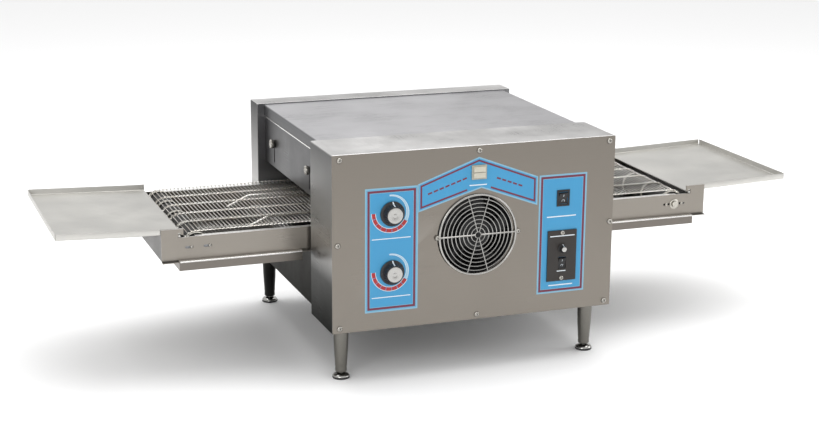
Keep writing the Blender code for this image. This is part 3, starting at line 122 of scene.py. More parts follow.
floor_mesh = bpy.data.meshes.new("floor")
half = FLOOR_SIZE / 2
floor_mesh.from_pydata([(-half, -half, 0), (half, -half, 0), (half, half, 0), (-half, half, 0)], [],
                       [(0, 1, 2, 3)])
floor = bpy.data.objects.new("floor", floor_mesh)
bpy.context.scene.collection.objects.link(floor)
floor_paint = bpy.data.materials.new("floor")
floor_paint.use_nodes = True
floor_shader = floor_paint.node_tree.nodes["Principled BSDF"]
floor_shader.inputs["Base Color"].default_value = (*FLOOR_COLOUR, 1.0)
floor_shader.inputs["Roughness"].default_value = 0.9
floor_mesh.materials.append(floor_paint)

sky = bpy.data.worlds.new("studio")
sky.use_nodes = True
bpy.context.scene.world = sky
air = sky.node_tree
place = wire_up(air, "ShaderNodeTexCoord")
split = wire_up(air, "ShaderNodeSeparateXYZ")
fade = wire_up(air, "ShaderNodeMapRange", {"From Min": -0.1, "From Max": 0.7, "To Min": SKY_LOW,
                                           "To Max": SKY_BRIGHT})
air.links.new(place.outputs["Generated"], split.inputs["Vector"])
air.links.new(split.outputs["Z"], fade.inputs["Value"])
air.links.new(fade.outputs["Result"], air.nodes["Background"].inputs["Strength"])
air.nodes["Background"].inputs["Color"].default_value = (1.0, 1.0, 1.0, 1.0)


def soft_light(name, place, aim, size, power):
    """A rectangular light at a place, turned to face what it is aimed at."""
    light = bpy.data.lights.new(name, "AREA")
    light.shape = "RECTANGLE"
    light.size, light.size_y = size
    light.energy = power
    lamp = bpy.data.objects.new(name, light)
    lamp.location = place
    lamp.rotation_mode = "QUATERNION"
    lamp.rotation_quaternion = (Vector(aim) - Vector(place)).to_track_quat("-Z", "Y")
    bpy.context.scene.collection.objects.link(lamp)


soft_light("overhead", (0.2, 0.4, 2.8), (0.0, 0.0, 0.2), (3.2, 2.4), 60.0)
soft_light("front_left", (-2.2, -2.6, 1.6), (0.0, 0.0, 0.2), (1.6, 1.6), 25.0)
soft_light("right", (3.0, -0.6, 1.4), (0.0, 0.0, 0.25), (1.4, 1.4), 20.0)

# ---------------------------------------------------------------- casing sheets
# The oven's body is 1.5 mm stainless sheet, folded on a press brake and brushed along its length.
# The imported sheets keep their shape; each gets its grain, hand marks and softly broken edges.
GRAIN_FINE = 1300.0
GRAIN_LONG = 8.0
HAND_MARKS = 9.0
SHEET_EDGE = 0.0004


def brushed_steel(name, colour, grain, roughness=0.33, marks=0.10, streaks=0.07, sides=None, painted_top_shading=None,
                  rim=1.0):
    """Stainless with its brushing along one axis, broad hand marks and a slight drift of tone.

    sides gives painted light and shade for faces that look along X: colours by height, from the floor up, as
    (height, colour);
    tops gives painted light and shade for faces that look up or down in the same way, and rim dims the glancing
    shine.
    """
    made = bpy.data.materials.new(name)
    made.use_nodes = True
    tree = made.node_tree
    shader = tree.nodes["Principled BSDF"].inputs
    shader["Metallic"].default_value = 1.0
    shader["Specular Tint"].default_value = (rim, rim, rim, 1.0)
    link = tree.links.new
    spot = wire_up(tree, "ShaderNodeTexCoord").outputs
    scale = [GRAIN_LONG if axis == grain else GRAIN_FINE for axis in "XYZ"]
    along = wire_up(tree, "ShaderNodeMapping", {"Vector": spot["Object"], "Scale": scale}).outputs["Vector"]
    brush = noise(tree, along, 1.0, 3.0, 0.65)
    cloud = noise(tree, spot["Object"], HAND_MARKS, 4.0, 0.6)
    streak = stretched(tree, brush, 0.3, 0.7, -streaks / 2, streaks / 2)
    smear = stretched(tree, cloud, 0.35, 0.65, roughness - marks / 2, roughness + marks / 2)
    gloss = wire_up(tree, "ShaderNodeMath", {0: streak, 1: smear}, operation="ADD")
    link(gloss.outputs["Value"], shader["Roughness"])
    painted = wire_up(tree, "ShaderNodeRGB").outputs["Color"]
    painted.default_value = (*colour, 1.0)
    if sides or painted_top_shading:
        height_up = wire_up(tree, "ShaderNodeSeparateXYZ", {"Vector": spot["Object"]}).outputs["Z"]
        facing = wire_up(tree, "ShaderNodeSeparateXYZ", {"Vector": spot["Normal"]}).outputs
    # Painted light and shade: faces that look along X, or up and down, take their colour from a ramp by height.
    for axis, tones in (("X", sides), ("Z", painted_top_shading)):
        if not tones:
            continue
        ramp = wire_up(tree, "ShaderNodeValToRGB", {"Fac": height_up})
        for number, (height, shade) in enumerate(tones):
            stop = ramp.color_ramp.elements[number] if number < 2 else ramp.color_ramp.elements.new(1.0)
            stop.position = height
            stop.color = (*shade, 1.0)
        aside = wire_up(tree, "ShaderNodeMath", {0: facing[axis]}, operation="ABSOLUTE").outputs["Value"]
        shades = {0: aside, 6: painted, 7: ramp.outputs["Color"]}
        painted = wire_up(tree, "ShaderNodeMix", shades, data_type="RGBA").outputs[2]
    drift = stretched(tree, half_and_half(tree, brush, cloud), 0.25, 0.75, 0.93, 1.05)
    tone = wire_up(tree, "ShaderNodeVectorMath", {0: painted, "Scale": drift}, operation="SCALE")
    link(tone.outputs["Vector"], shader["Base Color"])
    roughen(tree, shader, brush, 0.07, 0.00005)
    return made


def dress(name, finish, edge=SHEET_EDGE):
    """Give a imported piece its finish, close its seams and break its sharp edges."""
    piece = frame["nodes"][name]
    piece.material_slots[0].material = finish
    stored = piece.data.attributes.get("custom_normal")
    if stored is not None:
        piece.data.attributes.remove(stored)
    piece.data.shade_smooth()
    weld = piece.modifiers.new("seams", "WELD")
    weld.merge_threshold = 0.00001
    bevel = piece.modifiers.new("broken_edge", "BEVEL")
    bevel.width = edge
    bevel.segments = 2
    bevel.limit_method = "ANGLE"
    bevel.angle_limit = math.radians(40)
    bevel.harden_normals = True


DIM_RIM = 0.52
# SIDE_PAINTED_SHADING and BOX_TOPS_PAINTED_SHADING are painted light and shade. The box sides are painted near
# black low down, with a painted light band about 0.27 m up, and darker again at the top. Faces that look up or down
# are painted dark low down and bright high up.
SIDE_PAINTED_SHADING = [(0.10, (0.034, 0.035, 0.033)), (0.19, (0.080, 0.080, 0.077)), (0.27, (0.66, 0.65, 0.635)),
              (0.43, (0.13, 0.13, 0.13))]
BOX_TOPS_PAINTED_SHADING = [(0.10, (0.10, 0.10, 0.10)), (0.40, (0.86, 0.85, 0.84))]
# The panel's faces that look up or down are painted dark low down and white high up, as a painted highlight along
# its top edge.
panel_steel = brushed_steel("panel_steel", (0.228, 0.207, 0.181), "X",
                            painted_top_shading=[(0.10, (0.08, 0.08, 0.07)), (0.40, (1, 1, 1))])
cover_steel = brushed_steel("cover_steel", (0.56, 0.548, 0.53), "Y", sides=SIDE_PAINTED_SHADING, painted_top_shading=BOX_TOPS_PAINTED_SHADING,
                            rim=DIM_RIM)
# The roof's faces that look along X are painted dark, as painted shade on its lips.
roof_steel = brushed_steel("roof_steel", (0.88, 0.872, 0.89), "X", roughness=0.30, marks=0.04, rim=DIM_RIM,
                           sides=[(0.38, (0.20, 0.20, 0.205)), (0.44, (0.24, 0.24, 0.245))])
wall_steel = brushed_steel("wall_steel", (0.20, 0.20, 0.205), "Y")
end_steel = brushed_steel("end_wall_steel", (0.100, 0.099, 0.101), "Y", streaks=0.03, rim=0.83)
# The chamber floor's faces that look along X are painted near black, as painted shade.
floor_steel = brushed_steel("chamber_floor_steel", (0.13, 0.125, 0.12), "X", roughness=0.45, rim=DIM_RIM,
                            sides=[(0.10, (0.030, 0.030, 0.027)), (0.22, (0.055, 0.053, 0.050))])
liner_steel = brushed_steel("liner_steel", (0.16, 0.155, 0.15), "X", roughness=0.45)

dress("control_bulkhead", liner_steel)
dress("front_box_cover", cover_steel)
dress("rear_bulkhead", wall_steel)
dress("chamber_floor", floor_steel)
dress("chamber_roof", liner_steel)
dress("top_cover", roof_steel)
for side in ("left", "right"):
    dress(f"{side}_end_wall", end_steel)

# ---------------------------------------------------------------- insulation
# A ceramic wool blanket lies between the chamber's roof and its top cover, cut square and left bare.
WOOL_FIBRES = 260.0
WOOL_TUFTS = 40.0


def rough_stuff(name, light, dark, grains, roughness=0.9, metal=0.0, height=0.0004, strength=0.4):
    """A dull, grainy finish: two tones broken up by one coarse and one fine noise."""
    made = bpy.data.materials.new(name)
    made.use_nodes = True
    tree = made.node_tree
    shader = tree.nodes["Principled BSDF"].inputs
    shader["Metallic"].default_value = metal
    place = wire_up(tree, "ShaderNodeTexCoord").outputs["Object"]
    coarse = noise(tree, place, grains[0], 3.0, 0.55)
    fine = noise(tree, place, grains[1], 4.0, 0.7)
    both = half_and_half(tree, coarse, fine)
    tone = wire_up(tree, "ShaderNodeMix", {0: both, 6: (*dark, 1.0), 7: (*light, 1.0)}, data_type="RGBA")
    tree.links.new(tone.outputs[2], shader["Base Color"])
    gloss = stretched(tree, both, 0.3, 0.7, roughness * 0.85, min(roughness * 1.12, 1.0))
    tree.links.new(gloss, shader["Roughness"])
    roughen(tree, shader, fine, strength, height)
    return made


wool = rough_stuff("ceramic_wool", (0.86, 0.84, 0.78), (0.70, 0.67, 0.60), (WOOL_TUFTS, WOOL_FIBRES),
                   height=0.002)
dress("insulation_blanket", wool, 0.002)

# ---------------------------------------------------------------- legs and feet
# Four tapered tubes of polished stainless, bolted under the front and rear boxes.
# Each has a turned foot on a threaded stud, to level the oven.
LEG_TAPER = 0.80
FOOT_PAD = 0.0036
LEG_HEM = 0.012
THREAD_STEP = 0.0012
ROUND_STEPS = 48


def spin(work, profile, base, direction, steps=ROUND_STEPS, index=0, flutes=0, flute_depth=0.0, fluted=()):
    """Turn a profile of (radius, height) points about a line from the base, into the work."""
    aim = Vector((0, 0, 1)).rotation_difference(Vector(direction)).to_matrix()
    rings = []
    for number, (radius, height) in enumerate(profile):
        count = 1 if radius <= 0 else steps
        ring = []
        for step in range(count):
            angle = 2 * math.pi * step / steps
            reach = radius
            if number in fluted:
                reach = radius - flute_depth * (0.5 + 0.5 * math.cos(angle * flutes))
            spoke = Vector((reach * math.cos(angle), reach * math.sin(angle), height))
            ring.append(work.verts.new(Vector(base) + aim @ spoke))
        rings.append(ring)
    for first, second in zip(rings, rings[1:]):
        for step in range(steps):
            ahead = (step + 1) % steps
            corners = [first[step % len(first)], first[ahead % len(first)],
                       second[ahead % len(second)], second[step % len(second)]]
            kept = [corner for place, corner in enumerate(corners) if corner not in corners[:place]]
            if len(kept) > 2:
                work.faces.new(kept).material_index = index


def set_in_place(work, name, body, finishes, stands_for=(), crease=32):
    """Turn the finished work into one piece, fix it to its body and hide the imported pieces it stands for."""
    bmesh.ops.recalc_face_normals(work, faces=work.faces)
    mesh = bpy.data.meshes.new(name)
    work.to_mesh(mesh)
    work.free()
    for finish in finishes:
        mesh.materials.append(finish)
    mesh.shade_smooth()
    mesh.set_sharp_from_angle(angle=math.radians(crease))
    piece = bpy.data.objects.new(name, mesh)
    bpy.context.scene.collection.objects.link(piece)
    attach(piece, body)
    if stands_for:
        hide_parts(*stands_for)


def centre_of(name):
    """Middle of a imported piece's box."""
    low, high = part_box(name)
    return (low + high) / 2


# The rear legs take a near-black copy of the leg steel, as painted shade.
leg_steel = {
    "front": brushed_steel("leg_steel", (0.165, 0.158, 0.142), "Z", roughness=0.20, marks=0.06, streaks=0.05),
    "rear": brushed_steel("rear_leg_painted_shade", (0.022, 0.022, 0.021), "Z", roughness=0.30, marks=0.06,
                          streaks=0.05)}
foot_steel = brushed_steel("foot_steel", (0.40, 0.395, 0.38), "Z", roughness=0.14, marks=0.05, streaks=0.03)
foot_rubber = rough_stuff("foot_rubber", (0.020, 0.020, 0.021), (0.010, 0.010, 0.011), (60.0, 900.0), 0.6,
                          0.0,
                          0.0001, 0.2)
for corner in ("front_left", "front_right", "rear_left", "rear_right"):
    low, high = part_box(f"{corner}_leg")
    middle = centre_of(f"{corner}_leg")
    radius = (high.x - low.x) / 2
    foot_radius = radius * LEG_TAPER
    stem = high.z - low.z
    work = bmesh.new()
    outline = [(0, stem), (radius - 0.0008, stem), (radius, stem - 0.0008), (radius * 0.995, stem * 0.8),
               (radius * 0.93, stem * 0.5), (foot_radius * 1.02, LEG_HEM * 1.6), (foot_radius, LEG_HEM),
               (foot_radius * 0.94, LEG_HEM * 0.7), (foot_radius * 0.97, LEG_HEM * 0.5),
               (foot_radius * 0.97, 0.001), (foot_radius * 0.92, 0), (foot_radius * 0.5, 0),
               (foot_radius * 0.5, stem * 0.3), (0, stem * 0.3)]
    spin(work, outline, (middle.x, middle.y, low.z), (0, 0, 1))
    set_in_place(work, f"{corner}_tapered_leg", "casing", [leg_steel[corner.split("_")[0]]],
                 [f"{corner}_leg"])
    low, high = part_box(f"{corner}_foot")
    radius = (high.x - low.x) / 2
    stud = radius * 0.31
    turns = int((high.z - low.z - 0.011) / THREAD_STEP / 2)
    outline = [(0, high.z)]
    for turn_number in range(turns):
        top = high.z - turn_number * 2 * THREAD_STEP
        outline += [(stud * 0.84, top), (stud, top - THREAD_STEP)]
    outline += [(stud * 0.84, 0.0105), (stud * 1.5, 0.0100), (radius * 0.66, 0.0088), (radius * 0.86, 0.0074),
                (radius * 0.96, 0.0058), (radius, 0.0042), (radius, 0.0014), (radius * 0.96, 0.0003),
                (radius * 0.90, 0.0), (0, 0)]
    work = bmesh.new()
    spin(work, outline, (middle.x, middle.y, 0), (0, 0, 1))
    for face in work.faces:
        face.material_index = 1 if face.calc_center_median().z < FOOT_PAD else 0
    set_in_place(work, f"{corner}_levelling_foot", f"{corner}_foot", [foot_steel, foot_rubber],
                 [f"{corner}_foot"])

# ---------------------------------------------------------------- conveyor frame
# Two long side plates of folded stainless carry the belt through the oven, tied by a plate at each end.
# Two bright rods welded to cross bars hold up the belt's upper run, and dip where it enters the tunnel.
RAIL_FLAT = 0.325
RAIL_DIP = 0.0195
RAIL_TAIL_LENGTH = 0.043
RAIL_OFFSET = 0.080
RAIL_RADIUS = 0.003
RAIL_BEND = 0.014
BAR_OFFSET = 0.220
ROD_SIDES = 10


def close_band(work, first, second, index=0):
    """Close the band between two rings of corners."""
    count = len(first)
    for step in range(count):
        ahead = (step + 1) % count
        work.faces.new((first[step], first[ahead], second[ahead], second[step])).material_index = index


def thread(work, points, radius, sides=ROD_SIDES, closed=False, index=0):
    """Sweep a round wire along the points, keeping its section square to the run."""
    count = len(points)
    rings = []
    side = None
    for place, point in enumerate(points):
        before = points[(place - 1) % count] if closed or place else point
        after = points[(place + 1) % count] if closed or place < count - 1 else point
        run = (after - before).normalized()
        if side is None:
            side = run.orthogonal().normalized()
        side = (side - run * side.dot(run)).normalized()
        other = run.cross(side)
        ring = []
        for step in range(sides):
            angle = 2 * math.pi * step / sides
            ring.append(work.verts.new(point + (side * math.cos(angle) + other * math.sin(angle)) * radius))
        rings.append(ring)
    pairs = list(zip(rings, rings[1:]))
    if closed:
        pairs.append((rings[-1], rings[0]))
    for first, second in pairs:
        close_band(work, first, second, index)
    if not closed:
        work.faces.new(rings[0][::-1]).material_index = index
        work.faces.new(rings[-1]).material_index = index


def box_solid(work, low, high, index=0, edge=0.0):
    """A block between two corners, with its edges rounded over."""
    made = bmesh.ops.create_cube(work, size=1.0)["verts"]
    size = Vector(high) - Vector(low)
    middle = (Vector(high) + Vector(low)) / 2
    bmesh.ops.transform(work, matrix=Matrix.Translation(middle) @ Matrix.Diagonal((*size, 1.0)), verts=made)
    faces = {face for corner in made for face in corner.link_faces}
    for face in faces:
        face.material_index = index
    if edge:
        edges = list({line for corner in made for line in corner.link_edges})
        bmesh.ops.bevel(work, geom=edges, offset=edge, segments=2, profile=0.6, affect="EDGES",
                        material=index)


def bent_run(corners, radius, steps=6):
    """Points along a line through the corners, with each corner rounded to the radius."""
    points = [corners[0]]
    for before, here, after in zip(corners, corners[1:], corners[2:]):
        inward = (before - here).normalized()
        outward = (after - here).normalized()
        half = inward.angle(outward) / 2
        if half > math.pi / 2 - 0.01:
            points.append(here)
            continue
        reach = min(radius / math.tan(half), (before - here).length * 0.49, (after - here).length * 0.49)
        bend = reach * math.tan(half)
        middle = here + (inward + outward).normalized() * (bend / math.sin(half))
        start = here + inward * reach - middle
        swing = start.rotation_difference(here + outward * reach - middle)
        for step in range(steps + 1):
            part = swing.copy()
            part.angle = swing.angle * step / steps
            spoke = start.copy()
            spoke.rotate(part)
            points.append(middle + spoke)
    points.append(corners[-1])
    return points


# The side plates' faces that look up or down are painted near black below 0.22 m, as painted shade on the flanges,
# and nearly white above 0.25 m, as a painted highlight along their top edges.
plate_steel = brushed_steel("plate_steel", (0.285, 0.262, 0.232), "X",
                            painted_top_shading=[(0.22, (0.03, 0.03, 0.03)), (0.25, (0.95, 0.94, 0.92))])
rod_steel = brushed_steel("rod_steel", (0.72, 0.70, 0.66), "X", roughness=0.2, marks=0.06)
dress("conveyor_front_plate", plate_steel)
dress("conveyor_rear_plate", plate_steel)
for side in ("left", "right"):
    dress(f"{side}_conveyor_end_plate", liner_steel)

low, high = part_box("belt_rail_frame")
conveyor_middle = (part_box("conveyor_front_plate")[0].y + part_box("conveyor_rear_plate")[1].y) / 2
rod_top = high.z
work = bmesh.new()
for offset in (-RAIL_OFFSET, RAIL_OFFSET):
    y = conveyor_middle + offset
    z = rod_top - RAIL_RADIUS
    corners = [Vector((-RAIL_FLAT - RAIL_TAIL_LENGTH, y, z - RAIL_DIP)), Vector((-RAIL_FLAT, y, z)),
               Vector((RAIL_FLAT, y, z)), Vector((RAIL_FLAT + RAIL_TAIL_LENGTH, y, z - RAIL_DIP))]
    thread(work, bent_run(corners, RAIL_BEND), RAIL_RADIUS, 16)
for x in (-BAR_OFFSET, BAR_OFFSET):
    box_solid(work, (x - 0.006, low.y, rod_top - 0.0095), (x + 0.006, high.y, rod_top - 0.0055), edge=0.0006)
set_in_place(work, "belt_support_rails", "casing", [rod_steel], ["belt_rail_frame"])

# ---------------------------------------------------------------- end wall hems
# The top cover's lips end just over a folded hem along the head of each end wall, coloured near white as a painted
# highlight.
HEM_PROUD = 0.0022
HEM_TALL = 0.0024
HEM_GAP = 0.0006
# painted_highlight_edge is a near-white copy of the steel: a painted highlight on the end wall hems and on the
# crumb trays' rim beads.
painted_highlight_edge = brushed_steel("painted_highlight_edge", (0.80, 0.79, 0.77), "Y", roughness=0.25)
lip_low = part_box("top_cover")[0].z
for side, sign in (("left", -1), ("right", 1)):
    low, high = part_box(f"{side}_end_wall")
    outer = high.x if sign > 0 else -low.x
    work = bmesh.new()
    hem = [(low.y + 0.001, lip_low - HEM_GAP - HEM_TALL), (high.y - 0.001, lip_low - HEM_GAP)]
    ends = sorted((sign * (outer - 0.0004), sign * (outer + HEM_PROUD)))
    box_solid(work, (ends[0], hem[0][0], hem[0][1]), (ends[1], hem[1][0], hem[1][1]), edge=0.0005)
    set_in_place(work, f"{side}_end_wall_hem", "casing", [painted_highlight_edge])

# ---------------------------------------------------------------- drums, shaft and bearings
# The belt turns round a steel drum at each end: dark sleeves between bright collars, pinned to a ground shaft.
# The left drum runs in sliding blocks held by two screws in slots, which tighten the belt; the right in bushes.
COLLARS = 5
COLLAR_WIDTH = 0.008
SLEEVE_DROP = 0.0028
SCREW_HEAD = 0.0034
SCREW_PROUD = 0.0024
TAKE_UP_RUN = 0.0052
SCREW_SPREAD = 0.017
WEB_GAP = 0.0018
SHAFT_RADIUS = 0.006
SHAFT_CHAMFER = 0.0005

dark_steel = rough_stuff("blackened_steel", (0.060, 0.058, 0.055), (0.022, 0.021, 0.020), (30.0, 420.0), 0.42,
                         0.85,
                         0.0001, 0.2)
collar_steel = brushed_steel("collar_steel", (0.50, 0.48, 0.43), "Y", roughness=0.28)
bright_screw = brushed_steel("bright_screw", (0.36, 0.345, 0.315), "Z", roughness=0.24, marks=0.05,
                             streaks=0.03)
block_grey = rough_stuff("cast_block", (0.30, 0.31, 0.32), (0.20, 0.20, 0.21), (60.0, 500.0), 0.55, 0.4)
for side, sign in (("left", -1), ("right", 1)):
    low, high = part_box(f"{side}_idler_drum")
    middle = centre_of(f"{side}_idler_drum")
    drum = (high.z - low.z) / 2
    belt_low, belt_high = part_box("conveyor_belt")
    front = belt_low.y - 0.002
    back = belt_high.y + 0.002
    shaft = SHAFT_RADIUS
    outline = [(0, low.y), (shaft - SHAFT_CHAMFER, low.y), (shaft, low.y + SHAFT_CHAMFER), (shaft, front)]
    pitch = (back - front - COLLAR_WIDTH) / (COLLARS - 1)
    work = bmesh.new()
    for collar in range(COLLARS):
        start = front + collar * pitch
        outline += [(drum - 0.0006, start), (drum, start + 0.0006), (drum, start + COLLAR_WIDTH - 0.0006),
                    (drum - 0.0006, start + COLLAR_WIDTH)]
        if collar < COLLARS - 1:
            outline += [(drum - SLEEVE_DROP, start + COLLAR_WIDTH), (drum - SLEEVE_DROP, start + pitch)]
    outline += [(shaft, back), (shaft, high.y - SHAFT_CHAMFER), (shaft - SHAFT_CHAMFER, high.y), (0, high.y)]
    spin(work, outline, (middle.x, 0, middle.z), (0, 1, 0))
    for face in work.faces:
        spot = face.calc_center_median()
        reach = math.hypot(spot.x - middle.x, spot.z - middle.z)
        face.material_index = 1 if reach > drum - SLEEVE_DROP * 0.6 or reach < shaft * 1.05 else 0
    set_in_place(work, f"{side}_belt_drum", f"{side}_idler", [dark_steel, collar_steel],
                 [f"{side}_idler_drum"])


def pan_screw(work, place, direction, radius, proud, index=0, recess=1):
    """A pan-head screw: rounded head standing on the sheet, with a dark cross set into its crown as painted shade
    for a crossed recess.
    """
    outline = [(0, proud), (radius * 0.30, proud * 0.97), (radius * 0.60, proud * 0.84),
               (radius * 0.84, proud * 0.58),
               (radius * 0.97, proud * 0.26), (radius, 0)]
    spin(work, outline, place, direction, 24, index)
    aim = Vector((0, 0, 1)).rotation_difference(Vector(direction)).to_matrix().to_4x4()
    # The cross is two bars in the second finish, dark steel on every screw here: painted shade standing in for the
    # recess.
    for spoke in (0.0, math.pi / 2):
        arm = bmesh.ops.create_cube(work, size=1.0)["verts"]
        shape = Matrix.Translation((0, 0, proud * 0.90)) @ Matrix.Rotation(spoke + math.pi / 4, 4, "Z")
        size = Matrix.Diagonal((radius * 0.66, radius * 0.13, proud * 0.22, 1.0))
        bmesh.ops.transform(work, matrix=Matrix.Translation(place) @ aim @ shape @ size, verts=arm)
        for face in {face for corner in arm for face in corner.link_faces}:
            face.material_index = recess


work = bmesh.new()
end_axle = centre_of("left_idler_drum")
block_faces = ((-1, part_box("take_up_block_front")[0].y - WEB_GAP),
               (1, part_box("take_up_block_rear")[1].y + WEB_GAP))
for sign, web_face in block_faces:
    for shift in (-SCREW_SPREAD, SCREW_SPREAD):
        screw_place = (end_axle.x + shift + TAKE_UP_RUN, web_face, end_axle.z)
        pan_screw(work, screw_place, (0, sign, 0), SCREW_HEAD, SCREW_PROUD)
set_in_place(work, "take_up_screws", "casing", [bright_screw, dark_steel])
dress("take_up_block_front", block_grey)
dress("take_up_block_rear", block_grey)

work = bmesh.new()
right_axle = centre_of("right_idler_drum")
for sign, web_face in block_faces:
    collar = [(0.0100, 0.0), (0.0100, 0.0012), (0.0092, 0.0018), (0.0066, 0.0018), (0.0066, 0.0)]
    spin(work, collar + collar[:1], (right_axle.x, web_face, right_axle.z), (0, sign, 0), 32)
    for shift in (-SCREW_SPREAD, SCREW_SPREAD):
        seat = (right_axle.x + shift, web_face, right_axle.z)
        pan_screw(work, seat, (0, sign, 0), SCREW_HEAD * 0.8, SCREW_PROUD * 0.6)
set_in_place(work, "fixed_bearings", "casing", [collar_steel, dark_steel])

# ---------------------------------------------------------------- wire belt
# Flat-flex belt of 1.4 mm stainless wire: every strand runs straight across and hooks the next one
# at its two ends and at four lines between, so the belt hinges strand by strand round the drums.
STRANDS = 276
STRAND_RADIUS = 0.00078
HOOK_LINES = 4
HOOK_BASE = 0.0020
HOOK_TIP = 0.0036
HOOK_REACH = 1.22
HOOK_RISE = 0.0013
STRAND_SIDES = 5
HEAT_TINT = (0.62, 0.50, 0.38, 1.0)


def belt_wire_finish(name):
    """Bright drawn wire, straw and brown where the oven's heat has tinted it."""
    made = brushed_steel(name, (0.86, 0.845, 0.80), "Y", roughness=0.22, marks=0.12)
    tree = made.node_tree
    base = tree.nodes["Principled BSDF"].inputs["Base Color"]
    place = wire_up(tree, "ShaderNodeTexCoord").outputs["Object"]
    amount = stretched(tree, noise(tree, place, 24.0, 5.0, 0.7), 0.48, 0.75, 0.0, 0.6)
    tints = {0: amount, 6: base.links[0].from_socket, 7: HEAT_TINT}
    mix = wire_up(tree, "ShaderNodeMix", tints, data_type="RGBA", blend_type="MULTIPLY")
    tree.links.new(mix.outputs[2], base)
    return made


belt_wire = belt_wire_finish("belt_wire")
belt_low, belt_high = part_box("conveyor_belt")
belt_middle = (belt_low + belt_high) / 2
bend_radius = (belt_high.z - belt_low.z) / 2 - 0.00085
axle_reach = belt_high.x - (belt_high.z - belt_low.z) / 2
straight = 2 * axle_reach
bend_length = math.pi * bend_radius
strand_pitch = 2 * (straight + bend_length) / STRANDS


def on_the_belt(along, y, proud):
    """The point this far along the belt's loop, at depth y, standing proud of the wires' middle."""
    along %= 2 * (straight + bend_length)
    lower = along >= straight + bend_length
    along -= (straight + bend_length) * lower
    sign = -1 if lower else 1
    if along < straight:
        x = along - axle_reach
        z = bend_radius + proud
    else:
        angle = (along - straight) / bend_radius
        x = axle_reach + (bend_radius + proud) * math.sin(angle)
        z = (bend_radius + proud) * math.cos(angle)
    return Vector((sign * x, y, belt_middle.z + sign * z))


def strand_course():
    """One strand's course, front to back: (pitches ahead, depth, rise) at each of its bends."""
    front, back = belt_low.y + STRAND_RADIUS, belt_high.y - STRAND_RADIUS
    course = [(1.05, front + 0.0052, 0.7), (HOOK_REACH, front + 0.0036, 1.0),
              (HOOK_REACH, front + 0.0012, 1.0),
              (0.95, front, 1.0), (0.35, front + 0.0003, 0.5), (0.0, front + 0.0022, 0.0)]
    for line in range(1, HOOK_LINES + 1):
        y = front + (back - front) * line / (HOOK_LINES + 1)
        course += [(0.0, y - HOOK_BASE, 0.0), (0.9, y - HOOK_TIP * 0.8, 1.0), (HOOK_REACH, y - HOOK_TIP, 1.0),
                   (HOOK_REACH, y + HOOK_TIP, 1.0), (0.9, y + HOOK_TIP * 0.8, 1.0), (0.0, y + HOOK_BASE, 0.0)]
    return course + [(ahead, back + front - y, rise) for ahead, y, rise in reversed(course[:6])]


work = bmesh.new()
course = strand_course()
for strand in range(STRANDS):
    start = strand * strand_pitch
    points = [on_the_belt(start + ahead * strand_pitch, y, rise * HOOK_RISE) for ahead, y, rise in course]
    thread(work, points, STRAND_RADIUS, STRAND_SIDES)
set_in_place(work, "wire_belt", "casing", [belt_wire], ["conveyor_belt"], crease=80)

# ---------------------------------------------------------------- drive
# A grey gear motor in the control box turns the belt's driven shaft through a small roller chain.
# Toothed wheels are blackened steel; the shaft carries four knurled belt wheels under the upper run.
CHAIN_LINKS = 42
ROLLER = 0.0016
LINK_PLATE = 0.0007


def toothed_wheel(work, centre, root, tip, teeth, half_width, bore):
    """A flat chain wheel with rounded teeth and a bore, facing front and back."""
    steps = teeth * 8
    rings = []
    for y, shrink in ((-half_width, 0.9), (-half_width * 0.6, 1.0), (half_width * 0.6, 1.0),
                      (half_width, 0.9)):
        ring = []
        for step in range(steps):
            angle = 2 * math.pi * step / steps
            wave = max(0.0, math.cos(angle * teeth)) ** 0.8
            reach = root + (tip - root) * wave * shrink
            ring.append(work.verts.new(centre + Vector((reach * math.cos(angle), y,
                                                        reach * math.sin(angle)))))
        rings.append(ring)
    for y in (half_width, -half_width):
        rings.append([work.verts.new(centre + Vector((bore * math.cos(2 * math.pi * step / steps), y,
                                                      bore * math.sin(2 * math.pi * step / steps))))
                      for step in range(steps)])
    for first, second in zip(rings, rings[1:] + rings[:1]):
        close_band(work, first, second)


wheel_low, wheel_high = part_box("motor_sprocket")
motor_axle = centre_of("motor_sprocket")
shaft_low, shaft_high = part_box("drive_shaft")
shaft_axle = centre_of("drive_shaft")
chain_low, chain_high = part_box("drive_chain")
chain_y = (chain_low.y + chain_high.y) / 2
small_radius = (wheel_high.z - wheel_low.z) / 2
large_radius = chain_high.z - shaft_axle.z - 0.006

work = bmesh.new()
toothed_wheel(work, Vector((motor_axle.x, chain_y, motor_axle.z)), small_radius - 0.002, small_radius, 12,
              0.0012, 0.0046)
outline = [(0.0046, -0.003), (0.0080, -0.003), (0.0086, -0.0024), (0.0086, 0.0024), (0.0080, 0.003),
           (0.0046, 0.003)]
spin(work, outline + outline[:1], (motor_axle.x, chain_y, motor_axle.z), (0, 1, 0), 32)
set_in_place(work, "motor_chain_wheel", "motor_sprocket", [dark_steel], ["motor_sprocket"])

